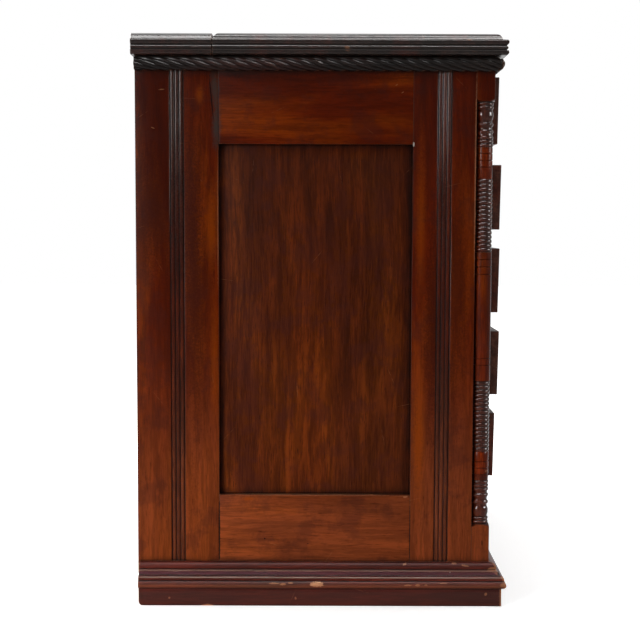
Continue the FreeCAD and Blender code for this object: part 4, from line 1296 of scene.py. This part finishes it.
class CABINET_OT_base(Operator):
    """Makes the base mouldings"""

    bl_idname = "cabinet.base"
    bl_label = "Base mouldings"

    def moulding(self, name, points, run):
        """A length of moulding: its section, filled and pulled along."""
        piece = draw_line(name, points)
        edit(piece)
        bpy.ops.mesh.edge_face_add()
        bpy.ops.mesh.extrude_region_move(TRANSFORM_OT_translate={"value": run})
        bpy.ops.mesh.select_all(action="SELECT")
        bpy.ops.mesh.normals_make_consistent(inside=False)
        close_edit()
        return piece

    def execute(self, context):
        sizes = context.scene.cabinet_sizes
        low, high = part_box("left_base")
        x_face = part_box("left_rear_stile")[0].x
        y_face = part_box("left_corner_column")[0].y
        corner = Vector((x_face, y_face, 0.0))
        edge = outline(BASE_EDGE)
        section = [Vector((x_face - point.x, low.y, point.y)) for point in edge]
        left = self.moulding("left_base_moulded", section, Vector((0.0, high.y - low.y, 0.0)))
        cut_off(left, corner, (1.0, -1.0, 0.0))
        middle = Vector((0.0, high.y, 0.0)) + sizes.foot_round * Vector((0.0, -1.0, 1.0))
        for lean in FOOT_LEANS:
            outward = Vector((0.0, lean, -1.0)).normalized()
            cut_off(left, middle + sizes.foot_round * outward, outward)
        section = [Vector((low.x, y_face - point.x, point.y)) for point in edge]
        across = self.moulding("base_front_moulded", section, Vector((-2 * low.x, 0.0, 0.0)))
        cut_off(across, corner, (-1.0, 1.0, 0.0))
        cut_off(across, (-corner.x, corner.y, 0.0), (1.0, 1.0, 0.0))
        right = mirrored(left, "right_base_moulded")
        for piece, node, along in ((left, "left_base", "y"), (right, "right_base", "y"),
                                   (across, "base_front", "x")):
            smooth(piece, 28.0)
            place_piece(piece, node, finish["base_wood"][along])
        dress_boards(["base_back"], sizes.moulding_ease, "x")
        return {"FINISHED"}


class CABINET_OT_inside(Operator):
    """Makes the boards inside the case and the back"""

    bl_idname = "cabinet.inside"
    bl_label = "Inside and back"

    def execute(self, context):
        ease = context.scene.cabinet_sizes.board_ease
        dress_boards(["well_bottom", "case_bottom", "hinge_rail", "drawer_stops"], ease, "x")
        dress_boards(["drawer_runners"], ease, "y")
        dress_boards(["back_boards"], ease, "z")
        return {"FINISHED"}


class CABINET_OT_drawers(Operator):
    """Makes the four drawers"""

    bl_idname = "cabinet.drawers"
    bl_label = "Drawers"

    def execute(self, context):
        ease = context.scene.cabinet_sizes.board_ease
        for drawer in DRAWERS:
            dress_boards([drawer + "_front", drawer + "_back"], ease, "x")
            dress_boards([drawer + "_sides", drawer + "_bottom", drawer + "_dividers"], ease, "y")
        return {"FINISHED"}


class CABINET_OT_metalwork(Operator):
    """Makes the flush pulls and the hinges"""

    bl_idname = "cabinet.metalwork"
    bl_label = "Pulls and hinges"

    def execute(self, context):
        ease = context.scene.cabinet_sizes.brass_ease
        pulls = [drawer + "_pulls" for drawer in DRAWERS]
        hinges = ["hinge_lid_leaves", "hinge_case_leaves", "hinge_pins"]
        dress_boards(pulls + hinges, ease, "x", BRASS_EDGE)
        return {"FINISHED"}


# Lamps: place and aim (m), power setting and share of it, width and height (m), beam (degrees), whether the
# lamp lights the wood, and whether it glints in the polish.
LAMPS = {
    "overhead_lamp": ((0.3, 0.1, 2.4), (0.3, 0.1, 0.0), "key_power", 1.0, (1.4, 1.4), 180, True, True),
    "left_lamp": ((-1.7, 1.9, 1.35), (0.0, 0.0, 0.5), "side_power", 1.0, (0.7, 1.4), 180, True, False),
    "right_lamp": ((-1.5, -2.0, 1.35), (0.0, 0.0, 0.5), "side_power", 0.6, (0.5, 1.4), 180, True, False),
    "low_lamp": ((-2.0, 1.5, 0.4), (-0.3, 0.0, -0.05), "low_power", 1.0, (0.8, 0.5), 45, True, False),
    "left_window": ((-1.6, 1.9, 1.15), (-0.3, 0.0, 0.7), "glint_power", 1.0, (1.0, 0.8), 180, False, True),
    "right_window": ((-0.8, -2.4, 1.15), (-0.3, 0.0, 0.7), "glint_power", 1.0, (1.0, 0.8), 180, False, True),
    "front_window": ((-1.1, 0.0, 2.2), (-0.3, 0.0, 0.1), "front_power", 1.0, (1.4, 0.3), 180, False, True),
}
# Distances (m) between which the floor brightens round the cabinet, and its level (0 to 1) up to the first.
SHADE_REACH = (0.36, 0.75)
SHADE_LEVEL = 0.6
FLOOR_SIZE = 16.0
SENSOR_WIDTH = 36.0


class CABINET_OT_stage(Operator):
    """Sets the camera, the pale floor, the lamps and the white room"""

    bl_idname = "cabinet.stage"
    bl_label = "Stage"

    def camera(self, studio):
        """The camera of the photograph, from its place and three angles."""
        pitch, yaw, roll = studio.camera_pitch, studio.camera_yaw, studio.camera_roll
        forward = Vector((math.cos(pitch) * math.cos(yaw), math.cos(pitch) * math.sin(yaw), -math.sin(pitch)))
        right = forward.cross(Vector((0.0, 0.0, 1.0))).normalized()
        upward = right.cross(forward)
        across = math.cos(roll) * right + math.sin(roll) * upward
        above = math.cos(roll) * upward - math.sin(roll) * right
        turn = Matrix((across, above, -forward)).transposed().to_4x4()
        camera = bpy.data.objects.new("photo_camera", bpy.data.cameras.new("photo_camera"))
        camera.matrix_world = Matrix.Translation(Vector(studio.camera_place)) @ turn
        camera.data.lens = studio.lens
        camera.data.sensor_width = SENSOR_WIDTH
        bpy.context.scene.collection.objects.link(camera)
        bpy.context.scene.camera = camera

    def lamp(self, name, place, target, watts, size, beam, lights, glints):
        """A soft lamp, which may light the wood, glint in its polish, or both."""
        data = bpy.data.lights.new(name, "AREA")
        data.spread = math.radians(beam)
        data.energy = watts
        data.shape = "RECTANGLE"
        data.size, data.size_y = size
        lamp = bpy.data.objects.new(name, data)
        lamp.location = place
        aim = Vector(target) - Vector(place)
        lamp.rotation_euler = aim.to_track_quat("-Z", "Y").to_euler()
        lamp.visible_diffuse = lights
        lamp.visible_glossy = glints
        bpy.context.scene.collection.objects.link(lamp)

    def seen(self, tree):
        """1 for what the camera sees straight, in a gloss or through glass."""
        rays = put(tree, "ShaderNodeLightPath").outputs
        either = maths(tree, "MAXIMUM", rays["Is Camera Ray"], rays["Is Glossy Ray"])
        return maths(tree, "MAXIMUM", either, rays["Is Transmission Ray"])

    def floor(self, colours):
        """A pale floor that glows where it is seen, less so near the cabinet."""
        bpy.ops.object.select_all(action="DESELECT")
        bpy.ops.mesh.primitive_plane_add(size=FLOOR_SIZE)
        floor = bpy.context.object
        floor.name = "pale_floor"
        material = bpy.data.materials.new("pale_floor")
        material.use_nodes = True
        tree = material.node_tree
        tree.nodes.clear()
        matt = put(tree, "ShaderNodeBsdfDiffuse", {"Color": solid(colours.floor)}).outputs[0]
        place = put(tree, "ShaderNodeTexCoord").outputs["Object"]
        level = spread(tree, measure(tree, "LENGTH", place), *SHADE_REACH, SHADE_LEVEL, 1.0)
        glow = put(tree, "ShaderNodeEmission", {"Strength": times(tree, self.seen(tree), level)})
        both = put(tree, "ShaderNodeAddShader", {0: matt, 1: glow.outputs[0]})
        tree.links.new(both.outputs[0], put(tree, "ShaderNodeOutputMaterial").inputs[0])
        floor.data.materials.append(material)

    def room(self, studio):
        """A room that is white where it is seen and lights the wood at its own level."""
        world = bpy.data.worlds.new("white_room")
        world.use_nodes = True
        tree = world.node_tree
        tree.nodes.clear()
        strength = spread(tree, self.seen(tree), 0.0, 1.0, studio.world_level, 1.0)
        light = put(tree, "ShaderNodeBackground", {"Color": (1.0, 1.0, 1.0, 1.0), "Strength": strength})
        tree.links.new(light.outputs[0], put(tree, "ShaderNodeOutputWorld").inputs[0])
        bpy.context.scene.world = world

    def execute(self, context):
        studio = context.scene.cabinet_studio
        self.camera(studio)
        self.floor(context.scene.cabinet_colours)
        self.room(studio)
        for name, (place, target, setting, share, size, beam, lights, glints) in LAMPS.items():
            self.lamp(name, place, target, share * getattr(studio, setting), size, beam, lights, glints)
        context.scene.view_settings.view_transform = "Standard"
        return {"FINISHED"}


OPERATORS = (CABINET_OT_finishes, CABINET_OT_sides, CABINET_OT_front_frame, CABINET_OT_columns,
             CABINET_OT_rope, CABINET_OT_top, CABINET_OT_base, CABINET_OT_inside, CABINET_OT_drawers,
             CABINET_OT_metalwork, CABINET_OT_stage)


class CABINET_PT_builder(Panel):
    """Lists the sizes, colours and building steps of the cabinet"""

    bl_idname = "CABINET_PT_builder"
    bl_label = "Spool Cabinet"
    bl_space_type = "VIEW_3D"
    bl_region_type = "UI"
    bl_category = "Spool Cabinet"

    def draw(self, context):
        scene = context.scene
        for settings in (scene.cabinet_sizes, scene.cabinet_colours, scene.cabinet_studio):
            box = self.layout.box()
            for name in settings.__annotations__:
                box.prop(settings, name)
        for operator in OPERATORS:
            self.layout.operator(operator.bl_idname)


CLASSES = (CabinetSizes, CabinetColours, CabinetStudio, *OPERATORS, CABINET_PT_builder)


def register():
    for made in CLASSES:
        bpy.utils.register_class(made)
    bpy.types.Scene.cabinet_sizes = PointerProperty(type=CabinetSizes)
    bpy.types.Scene.cabinet_colours = PointerProperty(type=CabinetColours)
    bpy.types.Scene.cabinet_studio = PointerProperty(type=CabinetStudio)


def unregister():
    del bpy.types.Scene.cabinet_studio
    del bpy.types.Scene.cabinet_colours
    del bpy.types.Scene.cabinet_sizes
    for made in reversed(CLASSES):
        bpy.utils.unregister_class(made)


def main():
    register()
    bpy.ops.cabinet.finishes()
    bpy.ops.cabinet.sides()
    bpy.ops.cabinet.front_frame()
    bpy.ops.cabinet.columns()
    bpy.ops.cabinet.rope()
    bpy.ops.cabinet.top()
    bpy.ops.cabinet.base()
    bpy.ops.cabinet.inside()
    bpy.ops.cabinet.drawers()
    bpy.ops.cabinet.metalwork()
    bpy.ops.cabinet.stage()
    bpy.context.view_layer.update()


if __name__ == "__main__":
    main()
